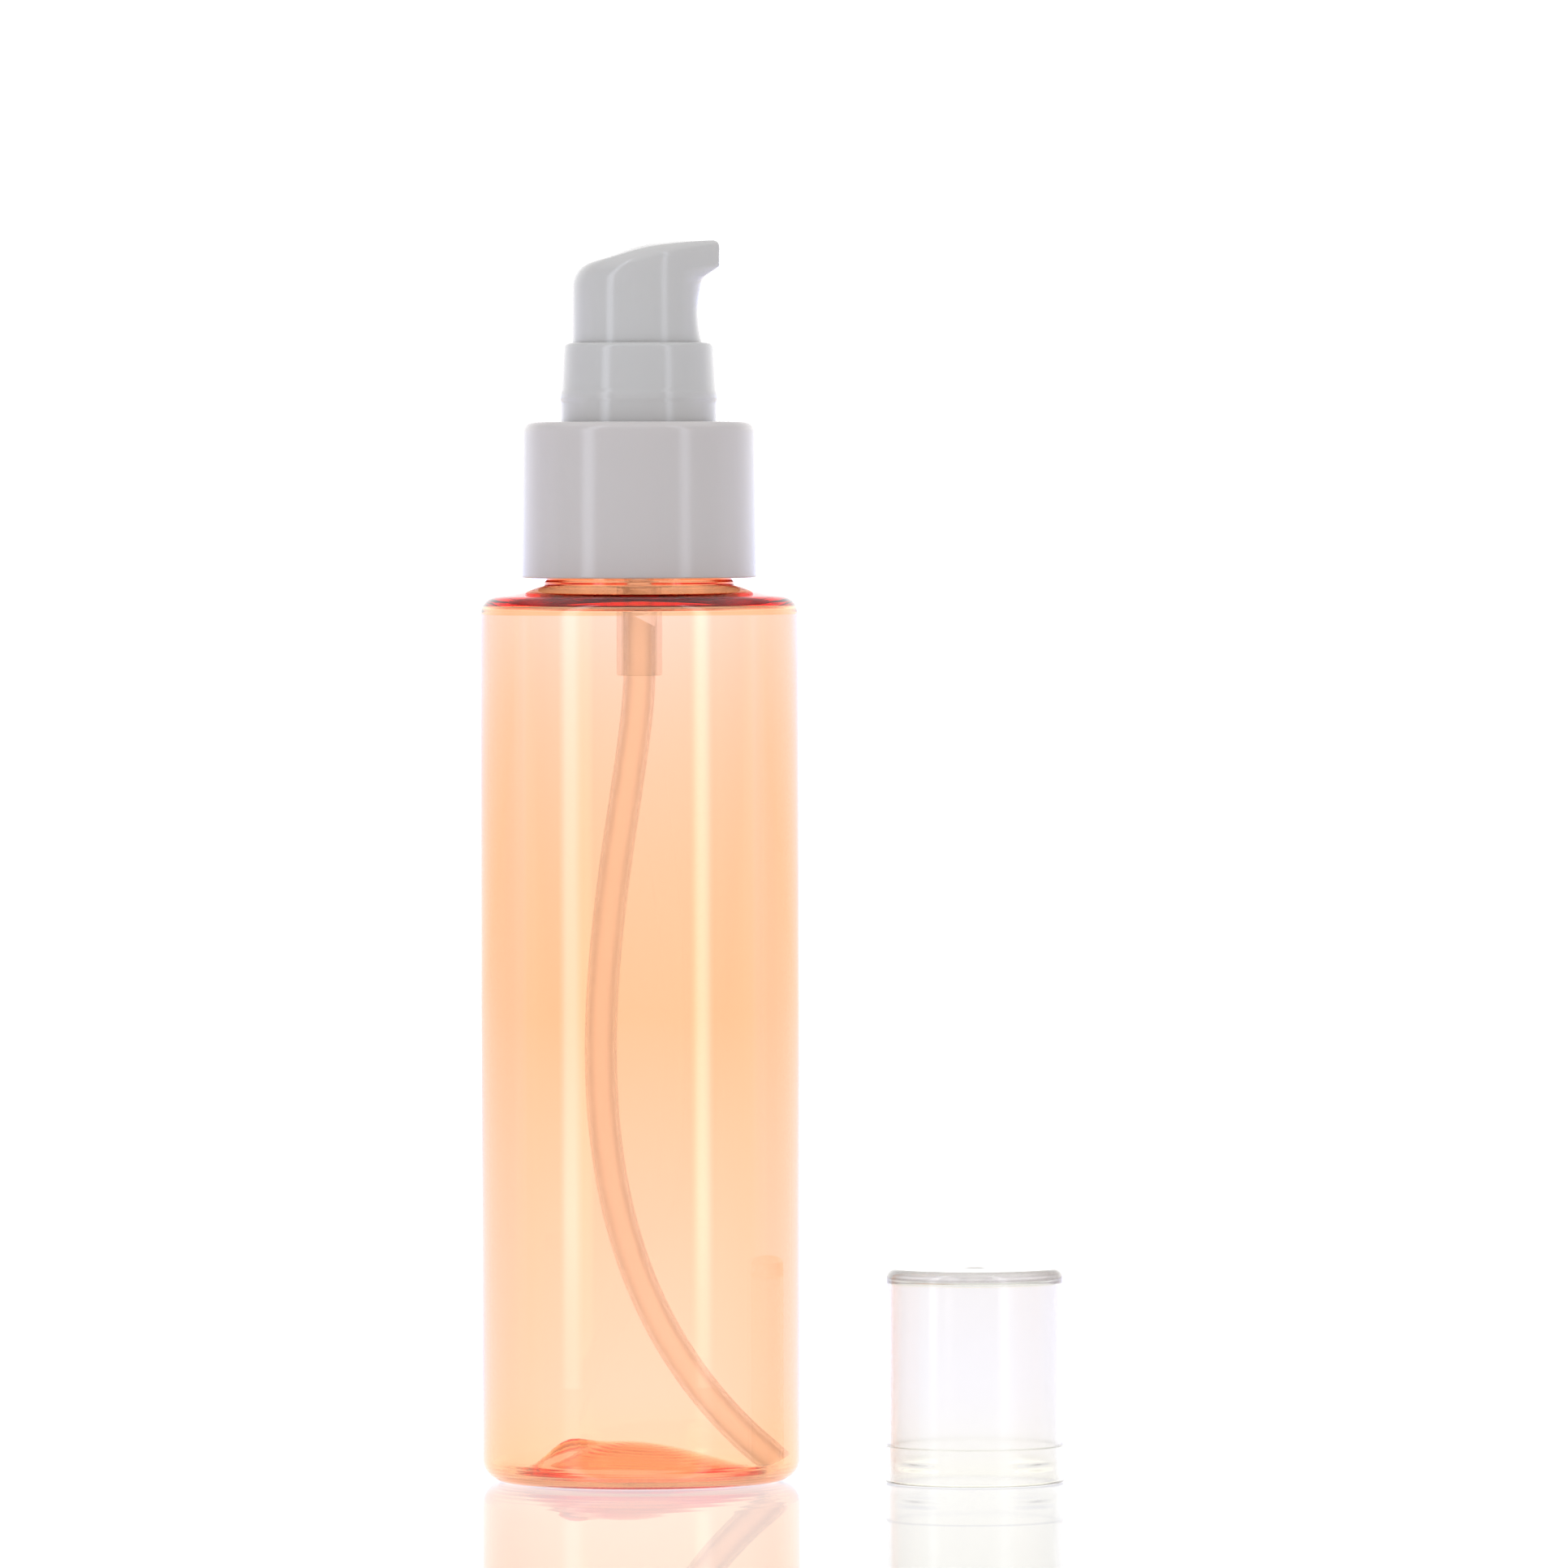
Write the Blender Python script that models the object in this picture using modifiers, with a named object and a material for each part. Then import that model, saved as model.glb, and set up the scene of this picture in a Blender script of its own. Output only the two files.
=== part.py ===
"""Pump oil bottle: an orange bottle with a screw-on treatment pump, and its clear overcap standing beside it.

Metres, +Z up. The origin is the middle of the footprint that the bottle and the overcap share, on the table.
The spout points along +X. Every height is measured from the table.
"""

import math

import bmesh
import bpy
from mathutils import Vector

# Bottle body
BODY_DIAMETER = 0.0375
BODY_WALL = 0.0007
SHOULDER_HEIGHT = 0.1057  # where the shoulder's slope meets the neck
SHOULDER_SLOPE = 12.4  # degrees
SHOULDER_RADIUS = 0.0021
BASE_RADIUS = 0.00265
BASE_THICKNESS = 0.0008
FOOT_WIDTH = 0.0019  # flat ring that the bottle stands on
PUSH_UP = 0.0032

# Bottle neck, and the screw thread that the collar shares
NECK_DIAMETER = 0.0219
NECK_WALL = 0.00165
BEAD_HEIGHT = 0.0004
BEAD_PROUD = 0.00045
RIM_CHAMFER = 0.0003
THREAD_PITCH = 0.003175
THREAD_DEPTH = 0.00085
THREAD_TURNS = 1.5
THREAD_LEAD_IN = 0.0014  # from the rim to the top of the thread
THREAD_CLEARANCE = 0.00035

# Gaps between pieces that rest on each other or slide in each other
SEAT_GAP = 0.0002
RUNNING_GAP = 0.00015

# Collar
COLLAR_HEIGHT = 0.0184
COLLAR_WALL = 0.0017
COLLAR_DRAFT = 0.00012
COLLAR_TOP = 0.0012
COLLAR_EDGE = 0.0011
COLLAR_LIFT = 0.0004  # from the neck bead to the collar's lower edge

# Stack under the collar's top
SLEEVE_FLANGE = 0.0009
HOUSING_FLANGE = 0.0008
GASKET_THICKNESS = 0.0008

# Actuator
ACTUATOR_DIAMETER = 0.0157
ACTUATOR_WALL = 0.001
STROKE = 0.006
STROKE_CLEARANCE = 0.0006
SPOUT_OVERHANG = 0.00175  # past the actuator's round side
SPOUT_WIDTH = 0.006
SPOUT_BLEND = 0.00045  # from the spout's side down to its underside
SPOUT_THICKNESS = 0.0031
SPOUT_DROP = 0.0015  # from the spout's lip down to its root
SPOUT_CLEARANCE = 0.0015  # over the sleeve, when pressed
ORIFICE_DIAMETER = 0.0014
FRONT_HOLLOW = 0.00065
TOP_FLAT = 0.0046  # x where the top becomes level
TOP_RADIUS = 0.0165
TOP_SLOPE = 22.0  # degrees
TOP_CROWN = 0.0005
TOP_EDGE = 0.0009
CEILING_DROP = 0.0031  # from the spout's root down to the roof of the hollow

# Snap sleeve
SLEEVE_WALL = 0.00114
SLEEVE_RIM_WALL = 0.0008
SLEEVE_OVERLAP = 0.004  # of the sleeve over the raised actuator
SLEEVE_BEAD_RISE = 0.0027
SLEEVE_BEAD_HEIGHT = 0.0008
SLEEVE_BEAD_PROUD = 0.0001

# Pump engine
HOUSING_BORE = 0.0068
HOUSING_WALL = 0.00075
SPIGOT_DIAMETER = 0.00536
SPIGOT_LENGTH = 0.008
SPIGOT_CHAMFER = 0.0003
INLET_DIAMETER = 0.002
SEAT_FLOOR = 0.0009
BALL_DIAMETER = 0.003
BALL_LIFT = 0.0008
BALL_CLEARANCE = 0.00025
BALL_LIP = 0.0002  # how far the retaining lip reaches over the ball
LIP_THICKNESS = 0.00035
VENT_DIAMETER = 0.0008
CHAPLET_DISC = 0.001
CHAPLET_RIM_GAP = 0.0005
PLUG_DEPTH = 0.00315
STEM_DIAMETER = 0.004
STEM_WALL = 0.0008
STEM_FLANGE_DIAMETER = 0.0056
STEM_FLANGE = 0.0009
STEM_SOCKET_DEPTH = 0.007
BOSS_WALL = 0.001
PISTON_HEIGHT = 0.0032
PISTON_SLIP = 0.0008
PISTON_LIP = 0.0005
PISTON_WAIST = 0.0005
VALVE_PASSAGE = 0.00045  # round the plunger's rod, inside the piston
ROD_GAP = 0.0002  # round the plunger's rod, inside the stem
ROD_LENGTH = 0.008
HEAD_DIAMETER = 0.0048
HEAD_EDGE = 0.0003
HEAD_DIMPLE = 0.0003  # under the plunger's head, clear of a lifted ball
SEAT_WIDTH = 0.0007

# Return spring
SPRING_DIAMETER = 0.0081  # at the middle of the wire
SPRING_WIRE = 0.0007
SPRING_CURLS = 7
CURL_POINTS = 9

# Dip tube: a smooth bend from the spigot to the corner of the base
TUBE_DIAMETER = 0.0038
TUBE_WALL = 0.00055
TUBE_TOP_HANDLE = (-0.0004, -0.0188)
TUBE_END_HANDLE = (-0.0332, 0.0265)
TUBE_END_TILT = 20.0  # degrees from a square cut
TUBE_POINTS = 30

# Overcap
OVERCAP_WALL = 0.0006
OVERCAP_TOP = 0.0012
OVERCAP_EDGE = 0.0009
OVERCAP_DRAFT = 0.0001
OVERCAP_HEADROOM = 0.0026
OVERCAP_BAND = 0.0043
OVERCAP_BAND_PROUD = 0.00008
SNAP_CATCH = 0.00004  # how far the snap ribs reach under the sleeve's bead
SNAP_SPAN = 42.0  # degrees
SNAP_COUNT = 4
OVERCAP_ASIDE = 0.01002  # between the bottle's side and the overcap's, seen from the front
OVERCAP_FORWARD = 0.004

# Sides of the round pieces
WIDE_STEPS = 48
FINE_STEPS = 32
SMALL_STEPS = 24
ARC_STEPS = 4
HILL_STEPS = 4  # in the pushed-up base
THREAD_SIDES = 8
THREAD_POINTS = 28  # in one turn
RIB_SIDES = 6
WIRE_SIDES = 6
TUBE_SIDES = 10
NECK_RINGS = 5  # of the actuator, between its sleeve and its spout
SPOUT_STEPS = 2  # round half the spout's end
FLANK_STEPS = 4
BACK_STEPS = 10

# Radii
BODY_R = BODY_DIAMETER / 2
NECK_R = NECK_DIAMETER / 2
NECK_BORE_R = NECK_R - NECK_WALL
COLLAR_BORE_R = NECK_R + THREAD_DEPTH + THREAD_CLEARANCE
COLLAR_R = COLLAR_BORE_R + COLLAR_WALL
STACK_R = COLLAR_BORE_R - THREAD_DEPTH - THREAD_CLEARANCE
ACTUATOR_R = ACTUATOR_DIAMETER / 2
SLEEVE_BORE_R = ACTUATOR_R + SEAT_GAP
SLEEVE_R = SLEEVE_BORE_R + SLEEVE_WALL
COLLAR_HOLE_R = SLEEVE_R + SEAT_GAP
BORE_R = HOUSING_BORE / 2
HOUSING_R = BORE_R + HOUSING_WALL
TUBE_R = TUBE_DIAMETER / 2
SOCKET_R = TUBE_R + SEAT_GAP
BALL_R = BALL_DIAMETER / 2
POCKET_R = BALL_R + BALL_CLEARANCE
LIP_R = BALL_R - BALL_LIP
INLET_R = INLET_DIAMETER / 2
STEM_R = STEM_DIAMETER / 2
STEM_BORE_R = STEM_R - STEM_WALL
ROD_R = STEM_BORE_R - ROD_GAP
STEM_SOCKET_R = STEM_R + SEAT_GAP
BOSS_R = STEM_SOCKET_R + BOSS_WALL
HEAD_R = HEAD_DIAMETER / 2
SPOUT_REACH = ACTUATOR_R + SPOUT_OVERHANG
SLEEVE_BEAD_R = SLEEVE_R + SLEEVE_BEAD_PROUD
OVERCAP_BORE_R = max(SPOUT_REACH, SLEEVE_BEAD_R) + RUNNING_GAP
SNAP_DEPTH = OVERCAP_BORE_R - SLEEVE_BEAD_R + SNAP_CATCH
OVERCAP_R = OVERCAP_BORE_R + OVERCAP_WALL + OVERCAP_DRAFT + OVERCAP_BAND_PROUD

# Heights of the stack, from the shoulder up
BEAD_TOP = SHOULDER_HEIGHT + BEAD_HEIGHT
COLLAR_BOTTOM_Z = BEAD_TOP + COLLAR_LIFT
COLLAR_TOP_Z = COLLAR_BOTTOM_Z + COLLAR_HEIGHT
COLLAR_ROOF_Z = COLLAR_TOP_Z - COLLAR_TOP
SLEEVE_FLANGE_Z = COLLAR_ROOF_Z - SEAT_GAP - SLEEVE_FLANGE
HOUSING_TOP_Z = SLEEVE_FLANGE_Z - SEAT_GAP
HOUSING_FLANGE_Z = HOUSING_TOP_Z - HOUSING_FLANGE
GASKET_Z = HOUSING_FLANGE_Z - SEAT_GAP - GASKET_THICKNESS
RIM_Z = GASKET_Z - SEAT_GAP
THREAD_Z = RIM_Z - THREAD_LEAD_IN - THREAD_TURNS * THREAD_PITCH

# Heights of the moving pieces, from the chaplet down
DISC_Z = HOUSING_TOP_Z + SEAT_GAP
DISC_TOP_Z = DISC_Z + CHAPLET_DISC
PLUG_Z = DISC_Z - PLUG_DEPTH
STEM_FLANGE_TOP_Z = PLUG_Z - SEAT_GAP
STEM_Z = STEM_FLANGE_TOP_Z - STEM_FLANGE
PISTON_TOP_Z = STEM_Z - SEAT_GAP - PISTON_SLIP
PISTON_Z = PISTON_TOP_Z - PISTON_HEIGHT
CONE_TOP_Z = PISTON_Z + VALVE_PASSAGE + SEAT_WIDTH - SEAT_GAP * math.sqrt(2)
HEAD_Z = CONE_TOP_Z - (HEAD_R - ROD_R) - HEAD_EDGE
LEDGE_Z = HEAD_Z - STROKE - SEAT_GAP

# Heights of the inlet valve and the spigot
LIP_Z = LEDGE_Z - LIP_THICKNESS
BALL_Z = LIP_Z - math.sqrt(BALL_R**2 - LIP_R**2) - RUNNING_GAP - BALL_LIFT
SEAT_Z = BALL_Z + INLET_R - math.sqrt(2) * (BALL_R + SEAT_GAP)
SOCKET_Z = SEAT_Z - SEAT_FLOOR
HOUSING_Z = SOCKET_Z + SEAT_GAP
SPIGOT_Z = HOUSING_Z - SPIGOT_LENGTH

# Heights of the actuator and its sleeve, from the chaplet up
SKIRT_Z = DISC_TOP_Z + STROKE + STROKE_CLEARANCE
SLEEVE_TOP_Z = SKIRT_Z + SLEEVE_OVERLAP
SPOUT_ROOT_Z = SLEEVE_TOP_Z + STROKE + SPOUT_CLEARANCE
SPOUT_LIP_Z = SPOUT_ROOT_Z + SPOUT_DROP
ACTUATOR_TOP_Z = SPOUT_LIP_Z + SPOUT_THICKNESS
ORIFICE_Z = SPOUT_LIP_Z + (SPOUT_THICKNESS - TOP_EDGE) / 2
CEILING_Z = SPOUT_ROOT_Z - CEILING_DROP
STEM_TOP_Z = SKIRT_Z + STEM_SOCKET_DEPTH
OVERCAP_HEIGHT = ACTUATOR_TOP_Z - COLLAR_TOP_Z + OVERCAP_HEADROOM + OVERCAP_TOP
SNAP_RISE = SLEEVE_BEAD_RISE - SLEEVE_BEAD_PROUD - SNAP_DEPTH

# Places of the two axes: the footprint's middle is the origin
OVERCAP_SPACING = BODY_R + OVERCAP_ASIDE + OVERCAP_R
FOOTPRINT_SHIFT = (OVERCAP_SPACING + OVERCAP_R - BODY_R) / 2
BOTTLE_AXIS = (-FOOTPRINT_SHIFT, 0, 0)
OVERCAP_AXIS = (OVERCAP_SPACING - FOOTPRINT_SHIFT, -OVERCAP_FORWARD, 0)


def clear_scene():
    for old in list(bpy.data.objects):
        bpy.data.objects.remove(old)


def new_collection(name):
    collection = bpy.data.collections.new(name)
    bpy.context.scene.collection.children.link(collection)
    return collection


def new_axis(name, place):
    axis = bpy.data.objects.new(name, None)
    axis.location = place
    axis.empty_display_size = BODY_R
    parts.objects.link(axis)
    return axis


def linear(hex_colour):
    """An sRGB hex colour as Blender's linear red, green and blue."""
    channels = [int(hex_colour[place : place + 2], 16) / 255 for place in (0, 2, 4)]
    return [c / 12.92 if c <= 0.04045 else ((c + 0.055) / 1.055) ** 2.4 for c in channels]


def plastic(name, hex_colour, roughness, metallic=0.0, clear=0.0):
    material = bpy.data.materials.new(name)
    material.use_nodes = True
    surface = material.node_tree.nodes["Principled BSDF"]
    surface.inputs["Base Color"].default_value = (*linear(hex_colour), 1)
    surface.inputs["Roughness"].default_value = roughness
    surface.inputs["Metallic"].default_value = metallic
    surface.inputs["Transmission Weight"].default_value = clear
    return material


def place_part(piece, axis, material):
    parts.objects.link(piece)
    piece.parent = axis
    piece.data.materials.append(material)
    return piece


def place_cutter(piece, axis):
    cutters.objects.link(piece)
    piece.parent = axis
    piece.hide_render = True
    piece.display_type = "WIRE"
    return piece


def arc(centre_r, centre_z, radius, start, end, steps=ARC_STEPS):
    """Points (r, z) on an arc, with its angles in degrees from the +r direction."""
    angles = [math.radians(start + (end - start) * i / steps) for i in range(steps + 1)]
    return [(centre_r + radius * math.cos(a), centre_z + radius * math.sin(a)) for a in angles]


def turned(name, outline, steps):
    """A turned object. Its outline of (r, z) points runs down the outer side.

    An outline that starts off the axis is closed.
    """
    shape = bmesh.new()
    points = [shape.verts.new((r, 0, z)) for r, z in outline]
    pairs = list(zip(points, points[1:]))
    if outline[0][0] > 0:
        pairs.append((points[-1], points[0]))
    for pair in pairs:
        shape.edges.new(pair)
    mesh = bpy.data.meshes.new(name)
    shape.to_mesh(mesh)
    shape.free()
    piece = bpy.data.objects.new(name, mesh)
    screw = piece.modifiers.new("turn", "SCREW")
    screw.steps = screw.render_steps = steps
    screw.use_merge_vertices = True
    screw.merge_threshold = 0.000001
    return piece


def tube_mesh(name, path, radius, sides, swells=None, caps=True):
    """A round tube along a path, as a mesh object. swells thins it, point by point."""
    curve = bpy.data.curves.new(name, "CURVE")
    curve.dimensions = "3D"
    curve.bevel_depth = radius
    curve.bevel_resolution = (sides - 4) // 2
    curve.use_fill_caps = caps
    spline = curve.splines.new("POLY")
    spline.points.add(len(path) - 1)
    for index, place in enumerate(path):
        spline.points[index].co = (*place, 1)
        spline.points[index].radius = swells[index] if swells else 1.0
    guide = bpy.data.objects.new(name + "_path", curve)
    cutters.objects.link(guide)
    graph = bpy.context.evaluated_depsgraph_get()
    mesh = bpy.data.meshes.new_from_object(guide.evaluated_get(graph))
    shape = bmesh.new()
    shape.from_mesh(mesh)
    bmesh.ops.remove_doubles(shape, verts=shape.verts, dist=0.000001)
    shape.to_mesh(mesh)
    shape.free()
    mesh.name = name
    mesh.shade_smooth()
    tube = bpy.data.objects.new(name, mesh)
    tube.matrix_world = guide.matrix_world
    bpy.data.objects.remove(guide)
    bpy.data.curves.remove(curve)
    return tube


def helix(radius, bottom, pitch, start, turns, points):
    """Points on a right-hand helix, with its start in degrees."""
    count = round(turns * points)
    angles = [math.radians(start) + 2 * math.pi * turns * i / count for i in range(count + 1)]
    climb = pitch / (2 * math.pi)
    return [
        (radius * math.cos(a), radius * math.sin(a), bottom + climb * (a - angles[0])) for a in angles
    ]


def faded(count, fade=4, least=0.35):
    """Swells for a ridge that grows out of its wall at both ends."""
    ends = [min(i, count - 1 - i) for i in range(count)]
    return [least + (1 - least) * min(1.0, end / fade) for end in ends]


def boolean(piece, operation, other):
    cut = piece.modifiers.new(other.name, "BOOLEAN")
    cut.operation = operation
    cut.object = other
    cut.solver = "EXACT"


def make_thread(piece, name, radius, bottom):
    """A ridge of the shared screw thread, joined to the wall that it is centred on."""
    path = helix(radius, bottom, THREAD_PITCH, 0.0, THREAD_TURNS, THREAD_POINTS)
    ridge = tube_mesh(name, path, THREAD_DEPTH, THREAD_SIDES, faded(len(path)))
    boolean(piece, "UNION", place_cutter(ridge, bottle_axis))


def make_bottle():
    slope = math.radians(SHOULDER_SLOPE)
    inner_r = BODY_R - BODY_WALL
    edge_r = BODY_R - SHOULDER_RADIUS
    slope_start = edge_r + SHOULDER_RADIUS * math.sin(slope)
    edge_z = SHOULDER_HEIGHT - math.tan(slope) * (slope_start - NECK_R) - SHOULDER_RADIUS * math.cos(slope)
    bead_r = NECK_R + BEAD_PROUD
    bead_foot = SHOULDER_HEIGHT - math.tan(slope) * (bead_r - NECK_R)
    inner_slope_z = SHOULDER_HEIGHT + math.tan(slope) * (NECK_R - NECK_BORE_R) - BODY_WALL / math.cos(slope)
    corner_r = BODY_R - BASE_RADIUS
    foot_r = corner_r - FOOT_WIDTH
    hill = [i / HILL_STEPS for i in range(HILL_STEPS)]
    inner_base = [(corner_r * s, BASE_THICKNESS + PUSH_UP * (1 - s * s) ** 1.5) for s in hill]
    outer_base = [(foot_r * s, PUSH_UP * (1 - s * s)) for s in reversed(hill)]
    outline = (
        inner_base
        + arc(corner_r, BASE_RADIUS - BODY_WALL + BASE_THICKNESS, BASE_RADIUS - BODY_WALL, -90, 0)
        + arc(edge_r, edge_z, SHOULDER_RADIUS - BODY_WALL, 0, 90 - SHOULDER_SLOPE)
        + [(NECK_BORE_R, inner_slope_z), (NECK_BORE_R, RIM_Z)]
        + [(NECK_R - RIM_CHAMFER, RIM_Z), (NECK_R, RIM_Z - RIM_CHAMFER)]
        + [(NECK_R, BEAD_TOP), (bead_r, BEAD_TOP), (bead_r, bead_foot)]
        + arc(edge_r, edge_z, SHOULDER_RADIUS, 90 - SHOULDER_SLOPE, 0)
        + arc(corner_r, BASE_RADIUS, BASE_RADIUS, 0, -90)
        + [(foot_r, 0)]
        + outer_base
    )
    bottle = turned("bottle", outline, WIDE_STEPS)
    make_thread(bottle, "bottle_thread", NECK_R, THREAD_Z)
    place_part(bottle, bottle_axis, plastic("clear_orange_pet", "F08A3C", 0.08, clear=1.0))


def make_collar():
    top_r = COLLAR_R - COLLAR_DRAFT
    outline = (
        [(COLLAR_HOLE_R, COLLAR_TOP_Z)]
        + arc(top_r - COLLAR_EDGE, COLLAR_TOP_Z - COLLAR_EDGE, COLLAR_EDGE, 90, 0)
        + [(COLLAR_R, COLLAR_BOTTOM_Z), (COLLAR_BORE_R, COLLAR_BOTTOM_Z)]
        + [(COLLAR_BORE_R, COLLAR_ROOF_Z), (COLLAR_HOLE_R, COLLAR_ROOF_Z)]
    )
    collar = turned("collar", outline, WIDE_STEPS)
    make_thread(collar, "collar_thread", COLLAR_BORE_R, THREAD_Z - THREAD_PITCH / 2)
    place_part(collar, bottle_axis, plastic("white_pp_collar", "F2EFEC", 0.3))


def make_sleeve():
    rim_r = SLEEVE_BORE_R + SLEEVE_RIM_WALL
    half = SLEEVE_RIM_WALL / 2
    bead_z = COLLAR_TOP_Z + SLEEVE_BEAD_RISE
    outline = (
        arc(rim_r - half, SLEEVE_TOP_Z - half, half, 90, 0)
        + [(SLEEVE_R, bead_z + 2 * SLEEVE_BEAD_HEIGHT), (SLEEVE_BEAD_R, bead_z + SLEEVE_BEAD_HEIGHT)]
        + [(SLEEVE_BEAD_R, bead_z), (SLEEVE_R, bead_z - SLEEVE_BEAD_PROUD)]
        + [(SLEEVE_R, SLEEVE_FLANGE_Z + SLEEVE_FLANGE), (STACK_R, SLEEVE_FLANGE_Z + SLEEVE_FLANGE)]
        + [(STACK_R, SLEEVE_FLANGE_Z), (SLEEVE_BORE_R, SLEEVE_FLANGE_Z)]
        + [(SLEEVE_BORE_R, SLEEVE_TOP_Z - half)]
        + arc(rim_r - half, SLEEVE_TOP_Z - half, half, 180, 90)[1:-1]
    )
    sleeve = turned("snap_sleeve", outline, WIDE_STEPS)
    place_part(sleeve, bottle_axis, plastic("white_pp_sleeve", "F1EFED", 0.28))


def make_gasket():
    bore_r = HOUSING_R + SEAT_GAP
    low, high = GASKET_Z, GASKET_Z + GASKET_THICKNESS
    outline = [(bore_r, high), (STACK_R, high), (STACK_R, low), (bore_r, low)]
    gasket = turned("gasket", outline, FINE_STEPS)
    place_part(gasket, bottle_axis, plastic("foam_pe_gasket", "E9E6DF", 0.7))


def make_housing():
    spigot_r = SPIGOT_DIAMETER / 2
    outline = [
        (BORE_R, HOUSING_TOP_Z),
        (STACK_R, HOUSING_TOP_Z),
        (STACK_R, HOUSING_FLANGE_Z),
        (HOUSING_R, HOUSING_FLANGE_Z),
        (HOUSING_R, HOUSING_Z),
        (spigot_r, HOUSING_Z),
        (spigot_r, SPIGOT_Z),
        (SOCKET_R + SPIGOT_CHAMFER, SPIGOT_Z),
        (SOCKET_R, SPIGOT_Z + SPIGOT_CHAMFER),
        (SOCKET_R, SOCKET_Z),
        (INLET_R, SOCKET_Z),
        (INLET_R, SEAT_Z),
        (POCKET_R, SEAT_Z + POCKET_R - INLET_R),
        (POCKET_R, LIP_Z),
        (LIP_R, LIP_Z),
        (LIP_R, LEDGE_Z),
        (BORE_R, LEDGE_Z),
    ]
    housing = turned("pump_housing", outline, FINE_STEPS)
    vent = cylinder("vent_cutter", VENT_DIAMETER / 2, HOUSING_R + HOUSING_WALL)
    vent.location = (0, 0, PLUG_Z - VENT_DIAMETER)
    boolean(housing, "DIFFERENCE", place_cutter(vent, bottle_axis))
    place_part(housing, bottle_axis, plastic("natural_pp_housing", "F3EEE6", 0.35, clear=0.6))


def cylinder(name, radius, length):
    """A cylinder that starts on the axis and runs along +X."""
    shape = bmesh.new()
    bmesh.ops.create_cone(
        shape, cap_ends=True, segments=SMALL_STEPS // 2, radius1=radius, radius2=radius, depth=length
    )
    bmesh.ops.translate(shape, verts=shape.verts, vec=(0, 0, length / 2))
    mesh = bpy.data.meshes.new(name)
    shape.to_mesh(mesh)
    shape.free()
    piece = bpy.data.objects.new(name, mesh)
    piece.rotation_euler = (0, math.pi / 2, 0)
    return piece


def make_chaplet():
    guide_r = STEM_R + RUNNING_GAP
    disc_r = SLEEVE_BORE_R - CHAPLET_RIM_GAP
    plug_r = BORE_R - RUNNING_GAP
    outline = [(guide_r, DISC_TOP_Z), (disc_r, DISC_TOP_Z), (disc_r, DISC_Z)]
    outline += [(plug_r, DISC_Z), (plug_r, PLUG_Z), (guide_r, PLUG_Z)]
    chaplet = turned("chaplet", outline, FINE_STEPS)
    place_part(chaplet, bottle_axis, plastic("white_pp_chaplet", "F0EEEA", 0.35))


def make_stem():
    flange_r = STEM_FLANGE_DIAMETER / 2
    outline = [(STEM_BORE_R, STEM_TOP_Z), (STEM_R, STEM_TOP_Z), (STEM_R, STEM_FLANGE_TOP_Z)]
    outline += [(flange_r, STEM_FLANGE_TOP_Z), (flange_r, STEM_Z), (STEM_BORE_R, STEM_Z)]
    stem = turned("stem", outline, SMALL_STEPS)
    place_part(stem, bottle_axis, plastic("natural_pp_stem", "EFEBE3", 0.35))


def make_plunger():
    rod_top = STEM_Z + ROD_LENGTH
    outline = [(0, rod_top), (ROD_R, rod_top), (ROD_R, CONE_TOP_Z)]
    outline += [(HEAD_R, HEAD_Z + HEAD_EDGE), (HEAD_R, HEAD_Z), (LIP_R, HEAD_Z), (0, HEAD_Z + HEAD_DIMPLE)]
    plunger = turned("plunger", outline, SMALL_STEPS)
    place_part(plunger, bottle_axis, plastic("white_pom_plunger", "EEEBE4", 0.35))


def make_piston():
    bore_r = ROD_R + VALVE_PASSAGE
    lip_r = BORE_R - RUNNING_GAP
    waist_r = lip_r - PISTON_WAIST
    outline = [
        (bore_r, PISTON_TOP_Z),
        (lip_r, PISTON_TOP_Z),
        (lip_r, PISTON_TOP_Z - PISTON_LIP),
        (waist_r, PISTON_TOP_Z - 2 * PISTON_LIP),
        (waist_r, PISTON_Z + 2 * PISTON_LIP),
        (lip_r, PISTON_Z + PISTON_LIP),
        (lip_r, PISTON_Z),
        (bore_r + SEAT_WIDTH, PISTON_Z),
        (bore_r, PISTON_Z + SEAT_WIDTH),
    ]
    piston = turned("piston", outline, SMALL_STEPS)
    place_part(piston, bottle_axis, plastic("natural_pe_piston", "ECE8E0", 0.45))


def make_inlet_ball():
    shape = bmesh.new()
    bmesh.ops.create_uvsphere(shape, u_segments=SMALL_STEPS // 2, v_segments=SMALL_STEPS // 3, radius=BALL_R)
    mesh = bpy.data.meshes.new("inlet_ball")
    shape.to_mesh(mesh)
    shape.free()
    mesh.shade_smooth()
    ball = bpy.data.objects.new("inlet_ball", mesh)
    ball.location = (0, 0, BALL_Z)
    place_part(ball, bottle_axis, plastic("glass_ball", "D9E2DF", 0.05, clear=1.0))


def least_gap(path, thickness, skip):
    """The least gap between stretches of one wound tube that are more than skip points apart."""
    places = [Vector(place) for place in path]
    count = len(places)
    distances = [(places[i] - places[j]).length for i in range(count) for j in range(i + skip, count)]
    return min(distances) - thickness


def make_spring():
    wire_r = SPRING_WIRE / 2
    bottom = DISC_TOP_Z + SEAT_GAP + wire_r
    top = CEILING_Z - SEAT_GAP - wire_r
    pitch = (top - bottom) / SPRING_CURLS
    path = helix(SPRING_DIAMETER / 2, bottom, pitch, 0.0, SPRING_CURLS, CURL_POINTS)
    gap = least_gap(path, SPRING_WIRE, CURL_POINTS // 2)
    print(f"spring: least gap to itself {gap * 1000:.2f} mm")
    spring = tube_mesh("spring", path, wire_r, WIRE_SIDES)
    place_part(spring, bottle_axis, plastic("stainless_spring_wire", "C9CACB", 0.25, metallic=1.0))


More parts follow.
